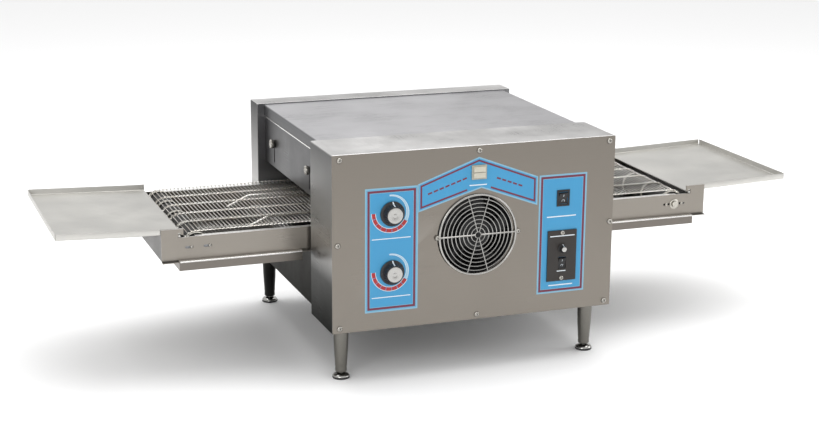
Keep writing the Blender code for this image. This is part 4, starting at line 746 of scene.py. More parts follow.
work = bmesh.new()
shaft = SHAFT_RADIUS
knurl = (shaft_high.z - shaft_low.z) / 2
outline = [(0, shaft_low.y), (shaft - 0.0006, shaft_low.y), (shaft, shaft_low.y + 0.0006)]
fluted = []
for offset in (-1.65, -0.5, 0.5, 1.65):
    y = conveyor_middle + offset * RAIL_OFFSET
    outline += [(shaft, y - 0.010), (knurl - 0.0012, y - 0.010), (knurl, y - 0.0088), (knurl, y + 0.0088),
                (knurl - 0.0012, y + 0.010), (shaft, y + 0.010)]
    fluted += [len(outline) - 4, len(outline) - 3]
outline += [(shaft, shaft_high.y - 0.0006), (shaft - 0.0006, shaft_high.y), (0, shaft_high.y)]
spin(work, outline, (shaft_axle.x, 0, shaft_axle.z), (0, 1, 0), 96, 0, 24, 0.0011, fluted)
toothed_wheel(work, Vector((shaft_axle.x, chain_y, shaft_axle.z)), large_radius - 0.0022, large_radius, 18,
              0.0012,
              shaft + 0.0001)
set_in_place(work, "belt_drive_shaft", "drive_shaft", [dark_steel], ["drive_shaft"])

lean = math.asin((large_radius - small_radius) / (shaft_axle.z - motor_axle.z))
chain_line = []
for centre, radius, first, last in ((shaft_axle, large_radius + 0.001, -lean, math.pi + lean),
                                    (motor_axle, small_radius + 0.001, math.pi + lean, 2 * math.pi - lean)):
    for step in range(25):
        angle = first + (last - first) * step / 24
        chain_line.append(Vector((centre.x + radius * math.cos(angle), chain_y,
                                  centre.z + radius * math.sin(angle))))
lengths = [(after - before).length for before, after in zip(chain_line, chain_line[1:] + chain_line[:1])]


def along_chain(distance):
    """The point this far along the chain's loop."""
    distance %= sum(lengths)
    for start, end, length in zip(chain_line, chain_line[1:] + chain_line[:1], lengths):
        if distance <= length:
            return start.lerp(end, distance / length)
        distance -= length
    return chain_line[0]


work = bmesh.new()
step_length = sum(lengths) / CHAIN_LINKS
for link_number in range(CHAIN_LINKS):
    here = along_chain(link_number * step_length)
    ahead = along_chain((link_number + 1) * step_length)
    thread(work, [here - Vector((0, 0.0026, 0)), here + Vector((0, 0.0026, 0))], ROLLER, 12)
    gap = 0.0016 if link_number % 2 else 0.0024
    for side in (-1, 1):
        y = side * gap
        run = (ahead - here)
        turn_to = Vector((1, 0, 0)).rotation_difference(run.normalized()).to_matrix().to_4x4()
        cube = bmesh.ops.create_cube(work, size=1.0)["verts"]
        size = Matrix.Diagonal((run.length + 0.0034, LINK_PLATE, 0.0046, 1.0))
        spot = Matrix.Translation((here + ahead) / 2 + Vector((0, y, 0)))
        bmesh.ops.transform(work, matrix=spot @ turn_to @ size, verts=cube)
set_in_place(work, "roller_chain", "casing", [dark_steel], ["drive_chain"])

motor_grey = rough_stuff("motor_enamel", (0.30, 0.32, 0.33), (0.22, 0.235, 0.245), (40.0, 700.0), 0.45, 0.1,
                         0.0001)
dress("gear_motor", motor_grey, 0.0012)

# ---------------------------------------------------------------- heating elements
# Two sheathed rods snake across the chamber, above and below the belt, dark and scaled from the heat.
ELEMENT_BEND = 0.016
element_scale = rough_stuff("element_sheath", (0.20, 0.17, 0.15), (0.09, 0.08, 0.075), (70.0, 800.0), 0.5,
                            0.7, 0.0001)
for level in ("upper", "lower"):
    low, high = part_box(f"{level}_element")
    radius = (high.z - low.z) / 2
    z = (high.z + low.z) / 2
    first, last = low.x + radius, high.x - radius
    pitch = (last - first) / 3
    back = high.y - radius
    turn_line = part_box("front_box_cover")[1].y + 0.025
    corners = [Vector((first, low.y, z)), Vector((first, back, z)), Vector((first + pitch, back, z)),
               Vector((first + pitch, turn_line, z)), Vector((last - pitch, turn_line, z)),
               Vector((last - pitch, back, z)), Vector((last, back, z)), Vector((last, low.y, z))]
    work = bmesh.new()
    thread(work, bent_run(corners, ELEMENT_BEND, 10), radius, 16)
    for x in (first, last):
        outline = [(radius, -0.002), (radius + 0.0022, -0.002), (radius + 0.0026, -0.0016),
                   (radius + 0.0026, 0.0070),
                   (radius, 0.0074)]
        spin(work, outline + outline[:1], (x, low.y + 0.004, z), (0, 1, 0), 6)
    set_in_place(work, f"{level}_heating_rod", "casing", [element_scale],
                 [f"{level}_element"])

# ---------------------------------------------------------------- crumb trays
# Shallow folded pans hang under the belt outside the oven; their rims slide on the side plates' flanges.
CRUMB_BEAD = 0.0016
# The crumb trays' faces that look up or down are painted dark low down, as painted shade, and nearly white at the
# rim, as a painted highlight. The rim beads take the painted highlight finish too.
crumb_steel = brushed_steel("crumb_steel", (0.185, 0.168, 0.150), "X",
                            painted_top_shading=[(0.215, (0.09, 0.086, 0.08)), (0.224, (0.95, 0.93, 0.90))])
for side in ("left", "right"):
    dress(f"{side}_crumb_tray", crumb_steel, 0.0005)
    low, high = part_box(f"{side}_crumb_tray")
    work = bmesh.new()
    for y in (low.y, high.y):
        z = high.z - CRUMB_BEAD
        thread(work, [Vector((low.x + 0.001, y, z)), Vector((high.x - 0.001, y, z))], CRUMB_BEAD, 16)
    set_in_place(work, f"{side}_crumb_tray_beads", f"{side}_crumb_tray", [painted_highlight_edge])

# ---------------------------------------------------------------- loading and landing trays
# One sheet each, folded up along three sides and hung on the ears by a rod under its inner edge.
TRAY_SHEET = 0.0012
TRAY_FLANGE = 0.012
TRAY_FOLD = 0.0016
TRAY_TILT = math.radians(2.0)
HOOK_RADIUS = 0.002
TRAY_LAP = 0.0059
TRAY_SIDE_GAP = 0.0007


def fold_up(reach, flange):
    """Course across a folded edge: (run out, rise) along the flat, round the fold, up the flange."""
    course = []
    for step in range(5):
        angle = math.pi / 2 * step / 4
        course.append((reach - TRAY_FOLD + TRAY_FOLD * math.sin(angle),
                       TRAY_FOLD - TRAY_FOLD * math.cos(angle)))
    course.append((reach, flange))
    return course


tray_steel = brushed_steel("tray_steel", (0.58, 0.57, 0.54), "X", roughness=0.38)
joints = {joint["name"]: joint for joint in frame["joints"]}
for side, sign in (("left", -1), ("right", 1)):
    low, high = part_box(f"{side}_tray")
    pivot = Vector(joints[f"{side}_tray_lift"]["pos_m"])
    outer = high.x if sign > 0 else -low.x
    hook_x = abs(pivot.x)
    inner = min(low.x if sign > 0 else -high.x, hook_x - TRAY_LAP)
    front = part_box("take_up_block_front")[0].y + TRAY_SIDE_GAP
    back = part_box("take_up_block_rear")[1].y - TRAY_SIDE_GAP
    base = pivot.z + HOOK_RADIUS - 0.0003
    depth_half = (back - front) / 2
    depth_middle = (back + front) / 2
    half_sheet = TRAY_SHEET / 2
    sides = fold_up(depth_half - half_sheet, TRAY_FLANGE - half_sheet)
    across_course = [(-run, rise) for run, rise in reversed(sides)] + sides
    ends = fold_up((outer - inner) * 1.0006 - half_sheet, TRAY_FLANGE - half_sheet)
    lengthwise = [(0.0, 0.0), ((outer - inner) * 0.5, 0.0)] + ends
    work = bmesh.new()
    grid = {}
    for column, (run, lift) in enumerate(lengthwise):
        for row, (shift, rise) in enumerate(across_course):
            if lift > 0.0001 and rise > 0.0001:
                continue
            grid[column, row] = work.verts.new((inner + run, depth_middle + shift,
                                                base + half_sheet + lift + rise))
    for column in range(len(lengthwise) - 1):
        for row in range(len(across_course) - 1):
            corners = [(column, row), (column + 1, row), (column + 1, row + 1), (column, row + 1)]
            if all(corner in grid for corner in corners):
                work.faces.new([grid[corner] for corner in corners])
    bmesh.ops.recalc_face_normals(work, faces=work.faces)
    shell = bpy.data.meshes.new("tray_shell")
    work.to_mesh(shell)
    work.free()
    draft = bpy.data.objects.new("tray_shell", shell)
    bpy.context.scene.collection.objects.link(draft)
    skin = draft.modifiers.new("sheet", "SOLIDIFY")
    skin.thickness = TRAY_SHEET
    skin.offset = 0.0
    skin.use_even_offset = True
    graph = bpy.context.evaluated_depsgraph_get()
    work = bmesh.new()
    work.from_mesh(draft.evaluated_get(graph).to_mesh())
    bpy.data.objects.remove(draft)
    crisp = [line for line in work.edges if len(line.link_faces) == 2 and line.calc_face_angle() > math.radians(60)]
    bmesh.ops.bevel(work, geom=crisp, offset=0.00025, segments=2, profile=0.6, affect="EDGES")
    thread(work, [Vector((hook_x, front - 0.0015, pivot.z)), Vector((hook_x, back + 0.0015, pivot.z))],
           HOOK_RADIUS, 16)
    tilt = Matrix.Translation((hook_x, 0, pivot.z)) @ Matrix.Rotation(-TRAY_TILT, 4, "Y")
    tilt = tilt @ Matrix.Translation((-hook_x, 0, -pivot.z))
    bmesh.ops.transform(work, matrix=Matrix.Diagonal((sign, 1, 1, 1)) @ tilt, verts=work.verts)
    set_in_place(work, f"{side}_folded_tray", f"{side}_tray", [tray_steel],
                 [f"{side}_tray"])

# ---------------------------------------------------------------- gates
# A plate slides down behind each end wall to lower the tunnel's mouth, held by two thumb screws in slots.
THUMB_RIBS = 28
THUMB_COLLAR = 0.0068
for side, sign in (("left", -1), ("right", 1)):
    dress(f"{side}_gate", liner_steel)
    for place in ("front", "rear"):
        low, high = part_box(f"{side}_gate_screw_{place}")
        middle = centre_of(f"{side}_gate_screw_{place}")
        head = (high.z - low.z) / 2
        start = low.x if sign > 0 else high.x
        length = high.x - low.x
        outline = [(0, 0), (0.0025, 0), (0.0025, 0.0045), (0.0051, 0.0045), (0.0051, 0.0052),
                   (THUMB_COLLAR, 0.0056),
                   (THUMB_COLLAR, 0.0072), (head * 0.94, 0.0078), (head, 0.0086), (head, length - 0.0014),
                   (head * 0.93, length - 0.0004), (head * 0.72, length), (head * 0.66, length - 0.0006),
                   (0, length - 0.0006)]
        work = bmesh.new()
        spin(work, outline, (start, middle.y, middle.z), (sign, 0, 0), 112, 0, THUMB_RIBS, 0.0006,
             (7, 8, 9, 10))
        for face in work.faces:
            if abs(face.calc_center_median().x - start) < 0.0074:
                face.material_index = 1
        set_in_place(work, f"{side}_{place}_thumb_screw", f"{side}_gate_screw_{place}",
                     [bright_screw, dark_steel],
                     [f"{side}_gate_screw_{place}"])

# ---------------------------------------------------------------- cooling fan
# A black axial fan behind a round hole draws air through the control box: moulded frame, swept blades.
# Its guard is chromed wire, spot-welded, with a level rod screwed to the panel at both ends.
BLADES = 5
BLADE_PITCH = math.radians(36)
BLADE_SWEEP = math.radians(16)
BLADE_TWIST = math.radians(12)
GUARD_RINGS = 10
GUARD_OUTER = 0.0752
GUARD_STEP = 0.0077
GUARD_LEAN = math.radians(16)
GUARD_WIRE = 0.0011
GUARD_RIM = 0.0022
GUARD_ROD = 0.0016
GUARD_LIFT = 0.0030
GUARD_TAB = 0.0045
GUARD_SCREW = 0.0054
GUARD_SCREW_PROUD = 0.0052
GUARD_SCREW_SEAT = 0.0014
RING_STEPS = 72

black_plastic = rough_stuff("black_plastic", (0.014, 0.014, 0.015), (0.005, 0.005, 0.006), (25.0, 900.0),
                            0.52, 0.0,
                            0.00008, 0.15)
chrome_wire = brushed_steel("chrome_wire", (0.36, 0.355, 0.34), "X", roughness=0.20, marks=0.05, streaks=0.03)
guard_rim = brushed_steel("guard_rim", (0.42, 0.41, 0.39), "X", roughness=0.20, marks=0.05, streaks=0.03)
fan_low, fan_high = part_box("fan_impeller")
fan_centre = centre_of("fan_impeller")
blade_tip = (fan_high.x - fan_low.x) / 2
hub = blade_tip * 0.475
dress("fan_frame", black_plastic, 0.0006)

work = bmesh.new()
outline = [(0, fan_low.y + 0.0022), (hub * 0.34, fan_low.y + 0.0022), (hub * 0.40, fan_low.y + 0.0008),
           (hub * 0.88, fan_low.y), (hub * 0.97, fan_low.y + 0.0012), (hub, fan_low.y + 0.004),
           (hub, fan_high.y - 0.001), (hub * 0.96, fan_high.y), (0, fan_high.y)]
spin(work, outline, (fan_centre.x, 0, fan_centre.z), (0, 1, 0))
chord = (fan_high.y - fan_low.y) * 0.44 / math.sin(BLADE_PITCH)
for blade in range(BLADES):
    rows = []
    for station in range(9):
        share = station / 8
        reach = hub * 0.92 + (blade_tip - hub * 0.92) * share
        lead = 2 * math.pi * blade / BLADES + BLADE_SWEEP * share * share
        pitch = BLADE_PITCH - BLADE_TWIST * share
        row = []
        for face_side in (-1, 1):
            for step in range(7):
                part = step / 6 - 0.5
                if face_side > 0:
                    part = -part
                camber = 0.0028 * (1 - 4 * part * part)
                thick = 0.0010 * (1 - 3.2 * part * part) * face_side
                run = part * chord * (0.92 + 0.25 * share)
                around = run * math.cos(pitch) - (camber + thick) * math.sin(pitch)
                deep = run * math.sin(pitch) + (camber + thick) * math.cos(pitch)
                angle = lead + around / reach
                row.append(work.verts.new((fan_centre.x + reach * math.cos(angle), fan_centre.y + deep,
                                           fan_centre.z + reach * math.sin(angle))))
        rows.append(row)
    for first, second in zip(rows, rows[1:]):
        close_band(work, first, second)
    work.faces.new(rows[0])
    work.faces.new(rows[-1])
set_in_place(work, "fan_wheel", "fan_impeller", [black_plastic], ["fan_impeller"], crease=40)


def on_panel(x, z, proud):
    """A point standing proud of the front panel."""
    return Vector((x, FACE - proud, z))


def ring_points(radius, proud):
    """Points round a full circle about the fan's axle, standing proud of the panel."""
    angles = [2 * math.pi * step / RING_STEPS for step in range(RING_STEPS)]
    return [on_panel(fan_centre.x + radius * math.cos(angle), fan_centre.z + radius * math.sin(angle), proud)
            for angle in angles]


work = bmesh.new()
thread(work, ring_points(GUARD_OUTER, GUARD_RIM), GUARD_RIM, 12, closed=True, index=1)
for ring in range(1, GUARD_RINGS):
    thread(work, ring_points(GUARD_OUTER - ring * GUARD_STEP, GUARD_LIFT), GUARD_WIRE, 8, closed=True)
small = GUARD_OUTER - (GUARD_RINGS - 1) * GUARD_STEP
for angle in (math.pi / 2 - GUARD_LEAN, math.pi / 2 + GUARD_LEAN, -math.pi / 2 - GUARD_LEAN,
              -math.pi / 2 + GUARD_LEAN):
    course = [on_panel(fan_centre.x + reach * math.cos(angle), fan_centre.z + reach * math.sin(angle), proud)
              for reach, proud in ((small, GUARD_LIFT + GUARD_WIRE),
                                   (GUARD_OUTER * 0.93, GUARD_LIFT + GUARD_WIRE),
                                   (GUARD_OUTER, GUARD_RIM))]
    thread(work, bent_run(course, 0.01, 4), GUARD_WIRE, 8)
guard_low, guard_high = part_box("fan_guard")
tab = (guard_high.x - guard_low.x) / 2 - GUARD_TAB
for sign in (-1, 1):
    course = [on_panel(fan_centre.x + sign * small, fan_centre.z, GUARD_LIFT + GUARD_WIRE),
              on_panel(fan_centre.x + sign * GUARD_OUTER, fan_centre.z, GUARD_RIM * 2 - 0.0004),
              on_panel(fan_centre.x + sign * tab, fan_centre.z, GUARD_ROD + 0.0003)]
    thread(work, bent_run(course, 0.006, 4), GUARD_ROD, 10, index=1)
    outline = [(0.0030, 0.0003), (0.0046, 0.0003), (0.0052, 0.0012), (0.0050, 0.0022), (0.0030, 0.0026)]
    spin(work, outline + outline[:1], (fan_centre.x + sign * tab, FACE, fan_centre.z), (0, -1, 0), 32)
set_in_place(work, "wire_guard", "casing", [chrome_wire, guard_rim], ["fan_guard"])
work = bmesh.new()
for sign in (-1, 1):
    seat = on_panel(fan_centre.x + sign * tab, fan_centre.z, GUARD_SCREW_SEAT)
    pan_screw(work, seat, (0, -1, 0), GUARD_SCREW, GUARD_SCREW_PROUD)
set_in_place(work, "guard_screws", "casing", [bright_screw, dark_steel])

# ---------------------------------------------------------------- thermostats
# Two dark moulded thermostats behind the panel; only their bushes and shafts come through it.
dark_moulding = rough_stuff("dark_moulding", (0.026, 0.021, 0.018), (0.013, 0.0105, 0.009), (30.0, 900.0),
                            0.55, 0.0,
                            0.00008, 0.2)
for level in ("upper", "lower"):
    dress(f"{level}_thermostat", dark_moulding, 0.0005)

# ---------------------------------------------------------------- control panel
# The front sheet is brushed level and held to the box by eight round-headed screws.
PANEL_SCREW = 0.0056
PANEL_EDGE = 0.0007
PANEL_SCREW_PROUD = 0.0042
SCREW_COLUMNS = {"left": 0.0136, "right": 0.0126}
dress("front_panel", panel_steel, PANEL_EDGE)
left_edge, right_edge = panel_low.x, panel_high.x
bottom_edge, top_edge = panel_low.z, panel_high.z
screw_rows = {"top": top_edge - 0.0100, "middle": bottom_edge + 0.1646, "bottom": bottom_edge + 0.0094}
work = bmesh.new()
for row, z in screw_rows.items():
    columns = [left_edge + SCREW_COLUMNS["left"], right_edge - SCREW_COLUMNS["right"]]
    if row == "middle":
        columns = [left_edge + 0.0102, right_edge - 0.0065]
    else:
        columns.append(0.003)
    for x in columns:
        pan_screw(work, on_panel(x, z, 0.0), (0, -1, 0), PANEL_SCREW, PANEL_SCREW_PROUD)
set_in_place(work, "panel_screws", "casing", [bright_screw, dark_steel])

# ---------------------------------------------------------------- printed films
# Three sky-blue polyester films with a pale border and a burgundy line are stuck to the panel.
# The left one carries the two heat dials: a white sweep that thickens into red blocks.
FILM_STEP = 0.00008
BORDER = 0.0050
FRAME_LINE = 0.0042
DIAL_BLOCKS = 8
SWEEP_START = math.radians(-4)
SWEEP_END = math.radians(118)
BLOCKS_END = math.radians(272)
DIAL_RADIUS = 0.0325
DIAL_SHIFT = (0.0030, 0.0014)
BLOCK_THICK = 0.0078
SWEEP_NARROW = 0.0016
SWEEP_WIDE = 0.0056


def printed(name, light, dark, roughness):
    """Ink on film: even colour with a faint mottle, and the film's fine orange-peel gloss."""
    made = rough_stuff(name, light, dark, (14.0, 500.0), roughness, 0.0, 0.00004, 0.08)
    made.node_tree.nodes["Principled BSDF"].inputs["Coat Weight"].default_value = 0.25
    made.node_tree.nodes["Principled BSDF"].inputs["Coat Roughness"].default_value = 0.25
    return made


border_ink = printed("pale_border", (0.21, 0.42, 0.56), (0.17, 0.36, 0.49), 0.45)
blue_ink = printed("sky_blue", (0.036, 0.290, 0.535), (0.026, 0.245, 0.470), 0.42)
burgundy_ink = printed("burgundy", (0.150, 0.010, 0.040), (0.110, 0.006, 0.028), 0.45)
white_ink = printed("white", (0.70, 0.76, 0.80), (0.60, 0.66, 0.71), 0.45)
red_ink = printed("red", (0.40, 0.006, 0.012), (0.31, 0.004, 0.009), 0.45)
soft_ink = printed("soft_white", (0.34, 0.55, 0.68), (0.29, 0.48, 0.61), 0.45)
inks = [border_ink, blue_ink, burgundy_ink, white_ink, red_ink, soft_ink]
PALE, BLUE, BURGUNDY, WHITE, RED, SOFT = range(6)


def lay_film(work, outline, layer, ink):
    """A thin patch of film or ink, cut to the outline, lying at its layer above the panel."""
    near = FACE - layer * FILM_STEP - 0.00012
    front = [work.verts.new((x, near, z)) for x, z in outline]
    back = [work.verts.new((x, FACE - 0.00002, z)) for x, z in outline]
    work.faces.new(front).material_index = ink
    work.faces.new(back[::-1]).material_index = ink
    close_band(work, front, back, ink)


def lay_line(work, points, width, layer, ink, closed=False):
    """An even line of ink along the points, mitred at its corners."""
    count = len(points)
    sides = ([], [])
    for place, (x, z) in enumerate(points):
        here = Vector((x, z))
        before = Vector(points[place - 1]) if closed or place else None
        after = Vector(points[(place + 1) % count]) if closed or place < count - 1 else None
        first = (here - before).normalized() if before is not None else (after - here).normalized()
        second = (after - here).normalized() if after is not None else first
        mitre = (first + second).normalized()
        normal = Vector((-mitre.y, mitre.x))
        reach = width / 2 / max(normal.dot(Vector((-second.y, second.x))), 0.2)
        sides[0].append(tuple(here + normal * reach))
        sides[1].append(tuple(here - normal * reach))
    last = count if closed else count - 1
    for step in range(last):
        ahead = (step + 1) % count
        lay_film(work, [sides[0][step], sides[0][ahead], sides[1][ahead], sides[1][step]], layer, ink)


def inset(outline, distance):
    """The outline moved inwards by the distance; its points run anticlockwise."""
    moved = []
    count = len(outline)
    for place, (x, z) in enumerate(outline):
        here = Vector((x, z))
        first = (here - Vector(outline[place - 1])).normalized()
        second = (Vector(outline[(place + 1) % count]) - here).normalized()
        normal = (Vector((-first.y, first.x)) + Vector((-second.y, second.x))).normalized()
        moved.append(tuple(here + normal * (distance / normal.dot(Vector((-first.y, first.x))))))
    return moved


def arc(x, z, radius, first, last, steps):
    """Points round an arc whose angles run clockwise from twelve o'clock."""
    return [(x + radius * math.sin(first + (last - first) * step / steps),
             z + radius * math.cos(first + (last - first) * step / steps)) for step in range(steps + 1)]


def heat_dial(work, x, z):
    """White sweep from twelve o'clock that widens to the right, then red blocks round to nine."""
    start, change, end = SWEEP_START, SWEEP_END, BLOCKS_END
    steps = 28
    rims = ([], [])
    for step in range(steps + 1):
        share = step / steps
        angle = start + (change - start) * share
        width = SWEEP_NARROW + (SWEEP_WIDE - SWEEP_NARROW) * share
        for rim, reach in zip(rims, (DIAL_RADIUS - width / 2, DIAL_RADIUS + width / 2)):
            rim.append((x + reach * math.sin(angle), z + reach * math.cos(angle)))
    for step in range(steps):
        lay_film(work, [rims[0][step], rims[0][step + 1], rims[1][step + 1], rims[1][step]], 3, SOFT)
    for rim in rims:
        lay_line(work, rim, 0.0008, 4, WHITE)
    for radius in (DIAL_RADIUS - BLOCK_THICK / 2, DIAL_RADIUS + BLOCK_THICK / 2):
        lay_line(work, arc(x, z, radius, change, end, 40), 0.0010, 3, WHITE)
    span = (end - change) / DIAL_BLOCKS
    for block in range(DIAL_BLOCKS):
        first = change + span * (block + 0.05)
        last = change + span * (block + 0.95)
        lay_line(work, arc(x, z, DIAL_RADIUS, first, last, 6), BLOCK_THICK * 0.86, 4, RED)


def framed_film(work, outline, line_inset):
    """Border, blue field and burgundy frame line of one film."""
    lay_film(work, outline, 0, PALE)
    lay_film(work, inset(outline, BORDER * 0.55), 1, BLUE)
    lay_line(work, inset(outline, line_inset), FRAME_LINE, 2, BURGUNDY, closed=True)
    lay_line(work, inset(outline, line_inset + FRAME_LINE * 0.62), 0.0007, 2, PALE, closed=True)
    lay_line(work, inset(outline, line_inset - FRAME_LINE * 0.62), 0.0007, 2, PALE, closed=True)


knob_x = centre_of("upper_heat_knob").x
dial_heights = {level: joints[f"{level}_heat_knob_turn"]["pos_m"][2] for level in ("upper", "lower")}
film_left = (-0.2155, 0.1335, -0.1145, 0.3646)
film_right = (0.1237, 0.1352, 0.2205, 0.3641)
work = bmesh.new()
x0, z0, x1, z1 = film_left
framed_film(work, [(x0, z0), (x1, z0), (x1, z1), (x0, z1)], 0.0066)
for height in dial_heights.values():
    heat_dial(work, knob_x - DIAL_SHIFT[0], height + DIAL_SHIFT[1])
    lay_line(work, [(x0 + 0.013, height - 0.0458), (x1 - 0.014, height - 0.0458)], 0.0016, 3, WHITE)
set_in_place(work, "heat_dial_film", "casing", inks, crease=20)

work = bmesh.new()
x0, z0, x1, z1 = film_right
framed_film(work, [(x0, z0), (x1, z0), (x1, z1), (x0, z1)], 0.0054)
lay_line(work, [(x0 + 0.017, 0.2832), (x1 - 0.0205, 0.2832)], 0.0021, 3, WHITE)
lay_line(work, [(x0 + 0.024, 0.1500), (x1 - 0.0235, 0.1500)], 0.0021, 3, WHITE)
set_in_place(work, "switch_film", "casing", inks, crease=20)

work = bmesh.new()
lamp_centre = centre_of("indicator_lamp")
gable = [(-0.1150, 0.3138), (0.0081, 0.3502), (0.1204, 0.3087), (0.1204, 0.3632), (0.0027, 0.4083),
         (-0.1150, 0.3660)]
lay_film(work, gable, 0, PALE)
lay_film(work, inset(gable, BORDER * 0.5), 1, BLUE)
line = inset(gable, 0.0062)
gap_left, gap_right = -0.0200, 0.0265


def slope(a, b, x):
    """The height at x on the straight line from a to b."""
    return a[1] + (b[1] - a[1]) * (x - a[0]) / (b[0] - a[0])


upper_course = [(gap_left, slope(line[0], line[1], gap_left)), line[0], line[5], line[4], line[3], line[2],
                (gap_right, slope(line[1], line[2], gap_right))]
lay_line(work, upper_course, FRAME_LINE * 0.8, 2, BURGUNDY)
lay_line(work, [(lamp_centre.x - 0.018, 0.3562), (lamp_centre.x + 0.016, 0.3562)], 0.0020, 3, WHITE)
dashes = ((-0.096, -0.018, 7, (gable[5], gable[4]), (gable[0], gable[1])),
          (0.038, 0.092, 5, (gable[4], gable[3]), (gable[1], gable[2])))
for first, last, steps, over, under in dashes:
    for step in range(steps):
        a = first + (last - first) * step / steps
        b = a + (last - first) / steps * 0.72
        mid = (slope(*over, a) + slope(*under, a)) / 2
        lay_line(work, [(a, mid), (b, mid + (slope(*over, b) - slope(*over, a)))], 0.0032, 2, BURGUNDY)
set_in_place(work, "gable_film", "casing", inks, crease=20)

# ---------------------------------------------------------------- heat knobs
# Black phenolic knobs with a fluted grip, a white pointer line and a spun aluminium disc on the front.
KNOB_FLUTES = 18
spun_disc = brushed_steel("spun_aluminium", (0.45, 0.445, 0.43), "Z", roughness=0.26, marks=0.06)
knob_black = rough_stuff("phenolic_black", (0.013, 0.013, 0.015), (0.005, 0.005, 0.006), (30.0, 1100.0), 0.45,
                         0.0,
                         0.00006, 0.12)


def turned_knob(name, body, joint, radius, cap, depth, stands_for, flutes=KNOB_FLUTES):
    """A fluted knob on its shaft, with a spun disc and a pointer line of two flats."""
    base = Vector(joints[joint]["pos_m"])
    work = bmesh.new()
    outline = [(0.0034, 0.0), (radius * 0.96, 0.0), (radius, depth * 0.04), (radius, depth * 0.14),
               (radius * 0.95, depth * 0.20), (radius * 0.87, depth * 0.24), (radius * 0.82, depth * 0.34),
               (cap * 1.16, depth * 0.84), (cap * 1.10, depth * 0.93), (cap * 1.03, depth * 0.97),
               (cap * 1.0, depth * 0.955), (0, depth * 0.955)]
    spin(work, outline, base, (0, -1, 0), flutes * 8, 0, flutes, radius * 0.045, (5, 6, 7))
    disc = [(0, depth * 0.985), (cap * 0.25, depth * 0.985), (cap * 0.27, depth * 0.978),
            (cap * 0.29, depth * 0.985),
            (cap * 0.90, depth), (cap * 0.985, depth * 0.99), (cap * 0.985, depth * 0.94), (0, depth * 0.94)]
    spin(work, disc, base, (0, -1, 0), 64, 1)
    bore = [(0.0034, 0.0), (0.0034, depth * 0.74), (0, depth * 0.74)]
    spin(work, bore, base, (0, -1, 0), flutes * 8, 0)
    for start, end, near, far in ((cap * 1.12, radius * 0.84, 0.90, 0.33),
                                  (radius * 0.84, radius * 0.985, 0.34, 0.12)):
        wide = radius * 0.045
        top = [Vector((base.x - wide, base.y - depth * near - 0.0004, base.z + start)),
               Vector((base.x + wide, base.y - depth * near - 0.0004, base.z + start)),
               Vector((base.x + wide, base.y - depth * far - 0.0006, base.z + end)),
               Vector((base.x - wide, base.y - depth * far - 0.0006, base.z + end))]
        low_points = [point + Vector((0, 0.0016, 0)) for point in top]
        upper = [work.verts.new(point) for point in top]
        lower = [work.verts.new(point) for point in low_points]
        work.faces.new(upper).material_index = 2
        work.faces.new(lower[::-1]).material_index = 2
        close_band(work, upper, lower, 2)
    bmesh.ops.remove_doubles(work, verts=work.verts, dist=0.000002)
    set_in_place(work, name, body, [knob_black, spun_disc, white_ink], [stands_for],
                 crease=28)


for level in ("upper", "lower"):
    low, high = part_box(f"{level}_heat_knob")
    turned_knob(f"{level}_dial_knob", f"{level}_heat_knob", f"{level}_heat_knob_turn", (high.x - low.x) / 2,
                0.0145,
                high.y - low.y, f"{level}_heat_knob")

# ---------------------------------------------------------------- power switch
# A black rocker in a snap-in bezel, with its on and off marks moulded in and filled with white.
MARK = 0.0006


def rocker(name, body, joint, node):
    """Rocker key: two faces meeting in a shallow valley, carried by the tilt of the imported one."""
    low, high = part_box(node)
    pivot = Vector(joints[joint]["pos_m"])
    half_wide = (high.x - low.x) / 2
    half_tall = (high.z - low.z) / 2 * 0.96
    work = bmesh.new()
    course = []
    for step in range(13):
        share = step / 6 - 1
        course.append((-0.0008 - 0.0028 * abs(share) ** 1.6, half_tall * share))
    course += [(0.0020, half_tall), (0.0060, 0.0), (0.0020, -half_tall)]
    tilt = Matrix.Rotation(math.radians(12), 4, "X")
    rows = []
    for x in (-half_wide, -half_wide + 0.0004, half_wide - 0.0004, half_wide):
        trim = 0.0004 if abs(abs(x) - half_wide) < 1e-6 else 0.0
        rows.append([work.verts.new(pivot + tilt @ Vector((x, y + (trim if place < 13 else 0), z)))
                     for place, (y, z) in enumerate(course)])
    for first, second in zip(rows, rows[1:]):
        close_band(work, first, second)
    work.faces.new(rows[0])
    work.faces.new(rows[-1])
    size = min(half_wide, half_tall) * 0.30

    def on_key(x, z, level):
        face = -0.0008 - 0.0028 * abs(level / half_tall) ** 1.6 - 0.00015
        return pivot + tilt @ Vector((x, face, z))

    ring_level = -half_tall * 0.52
    angles = [math.pi * step / 12 for step in range(24)]
    ring = [on_key(size * math.cos(angle), ring_level + size * math.sin(angle),
                   ring_level) for angle in angles]
    thread(work, ring, MARK * 0.6, 6, closed=True, index=1)
    levels = [half_tall * 0.52 + shift * size for shift in (-1, -0.5, 0, 0.5, 1)]
    thread(work, [on_key(0, level, level) for level in levels], MARK * 0.7, 6, index=1)
    set_in_place(work, name, body, [knob_black, white_ink], [node], crease=40)


dress("power_switch_housing", black_plastic, 0.0006)
rocker("power_rocker_key", "power_rocker", "power_rocker_tip", "power_switch_rocker")

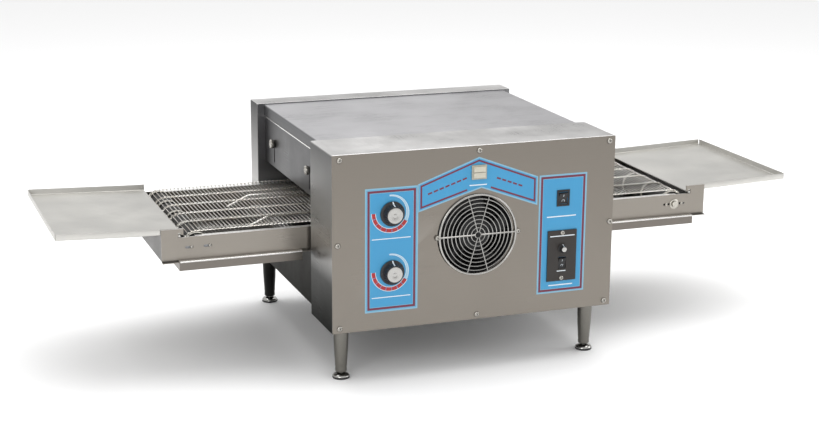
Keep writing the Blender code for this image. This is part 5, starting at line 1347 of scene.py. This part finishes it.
# ---------------------------------------------------------------- indicator lamp
# A square ivory lamp: moulded bezel round a ribbed lens split across its middle.
ivory = rough_stuff("ivory_moulding", (0.40, 0.385, 0.315), (0.34, 0.325, 0.265), (40.0, 700.0), 0.45, 0.0,
                    0.00006, 0.12)
lens_ivory = rough_stuff("lens_ivory", (0.58, 0.56, 0.47), (0.44, 0.42, 0.35), (90.0, 900.0), 0.36, 0.0,
                         0.0001, 0.25)
low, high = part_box("indicator_lamp")
work = bmesh.new()
rim = 0.0032
for z_low, z_high in ((low.z, low.z + rim), (high.z - rim, high.z)):
    box_solid(work, (low.x, FACE - 0.0034, z_low), (high.x, FACE - 0.0002, z_high), 0, 0.0007)
for x_low, x_high in ((low.x, low.x + rim), (high.x - rim, high.x)):
    box_solid(work, (x_low, FACE - 0.0033, low.z + rim * 0.6), (x_high, FACE - 0.0002, high.z - rim * 0.6), 0,
              0.0007)
half_gap = 0.00035
for z_low, z_high in ((low.z + rim * 0.9, lamp_centre.z - half_gap),
                      (lamp_centre.z + half_gap, high.z - rim * 0.9)):
    box_solid(work, (low.x + rim * 0.9, low.y, z_low), (high.x - rim * 0.9, FACE - 0.0006, z_high), 1, 0.0012)
for shift in (-0.5, 0.5):
    x = lamp_centre.x + shift * (high.x - low.x) * 0.36
    box_solid(work, (x - 0.0003, low.y - 0.0002, low.z + rim * 1.6),
              (x + 0.0003, low.y + 0.002, high.z - rim * 1.6), 1,
              0.0001)
box_solid(work, (low.x + 0.0030, FACE - 0.0008, low.z + 0.0030), (high.x - 0.0030, high.y, high.z - 0.0030),
          0, 0.0008)
set_in_place(work, "square_lamp", "casing", [ivory, lens_ivory], ["indicator_lamp"])

# ---------------------------------------------------------------- belt speed controller
# A dark moulded plate with a small knob for the belt's speed and a rocker that starts it, held by two screws.
dress("speed_controller", dark_moulding, 0.0007)
plate_low, plate_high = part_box("speed_controller")
plate_centre = centre_of("speed_controller")
plate_front = joints["run_rocker_tip"]["pos_m"][1] - 0.002
knob_low, knob_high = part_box("speed_knob")
turned_knob("belt_speed_knob", "speed_knob", "speed_knob_turn", (knob_high.x - knob_low.x) / 2, 0.0048,
            knob_high.y - knob_low.y, "speed_knob", flutes=14)
rocker("run_rocker_key", "run_rocker", "run_rocker_tip", "run_switch_rocker")
work = bmesh.new()
for z in (plate_high.z - 0.0050, plate_low.z + 0.0055):
    pan_screw(work, (plate_centre.x, plate_front, z), (0, -1, 0), 0.0046, 0.0030)
set_in_place(work, "controller_screws", "casing", [bright_screw, dark_steel])


def plate_mark(work, x0, x1, z, tall):
    """A plain white bar on the controller's plate."""
    box_solid(work, (x0, plate_front - 0.00012, z - tall / 2), (x1, plate_front + 0.0002, z + tall / 2), 0)


work = bmesh.new()
plate_mark(work, plate_low.x + 0.0045, plate_high.x - 0.0045, 0.2458, 0.0018)
plate_mark(work, plate_centre.x - 0.0095, plate_centre.x + 0.0085, 0.1778, 0.0016)
set_in_place(work, "controller_marks", "casing", [white_ink])

# ---------------------------------------------------------------- rear box and cable gland
# The rear box is one folded pan, slotted for air, with a black nylon gland where the supply lead enters.
dress("rear_box_cover", cover_steel)
gland_low, gland_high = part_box("cable_gland")
gland = centre_of("cable_gland")
radius = (gland_high.x - gland_low.x) / 2
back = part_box("rear_box_cover")[1].y
bore = 0.0045
work = bmesh.new()
outline = [(bore, gland_low.y), (radius * 0.72, gland_low.y), (radius * 0.72, back + 0.0003),
           (radius, back + 0.0003),
           (radius, back + 0.0045)]
spin(work, outline, (gland.x, 0, gland.z), (0, 1, 0), 6)
outline = [(bore * 0.9, back + 0.004), (radius * 0.93, back + 0.004), (radius * 0.93, back + 0.0105),
           (radius * 0.84, back + 0.0130), (radius * 0.66, gland_high.y - 0.0008),
           (radius * 0.60, gland_high.y),
           (bore, gland_high.y), (bore, back + 0.0045)]
spin(work, outline + outline[:1], (gland.x, 0, gland.z), (0, 1, 0), 96, 0, 24, 0.0005, (1, 2))
set_in_place(work, "nylon_gland", "casing", [black_plastic], ["cable_gland"])
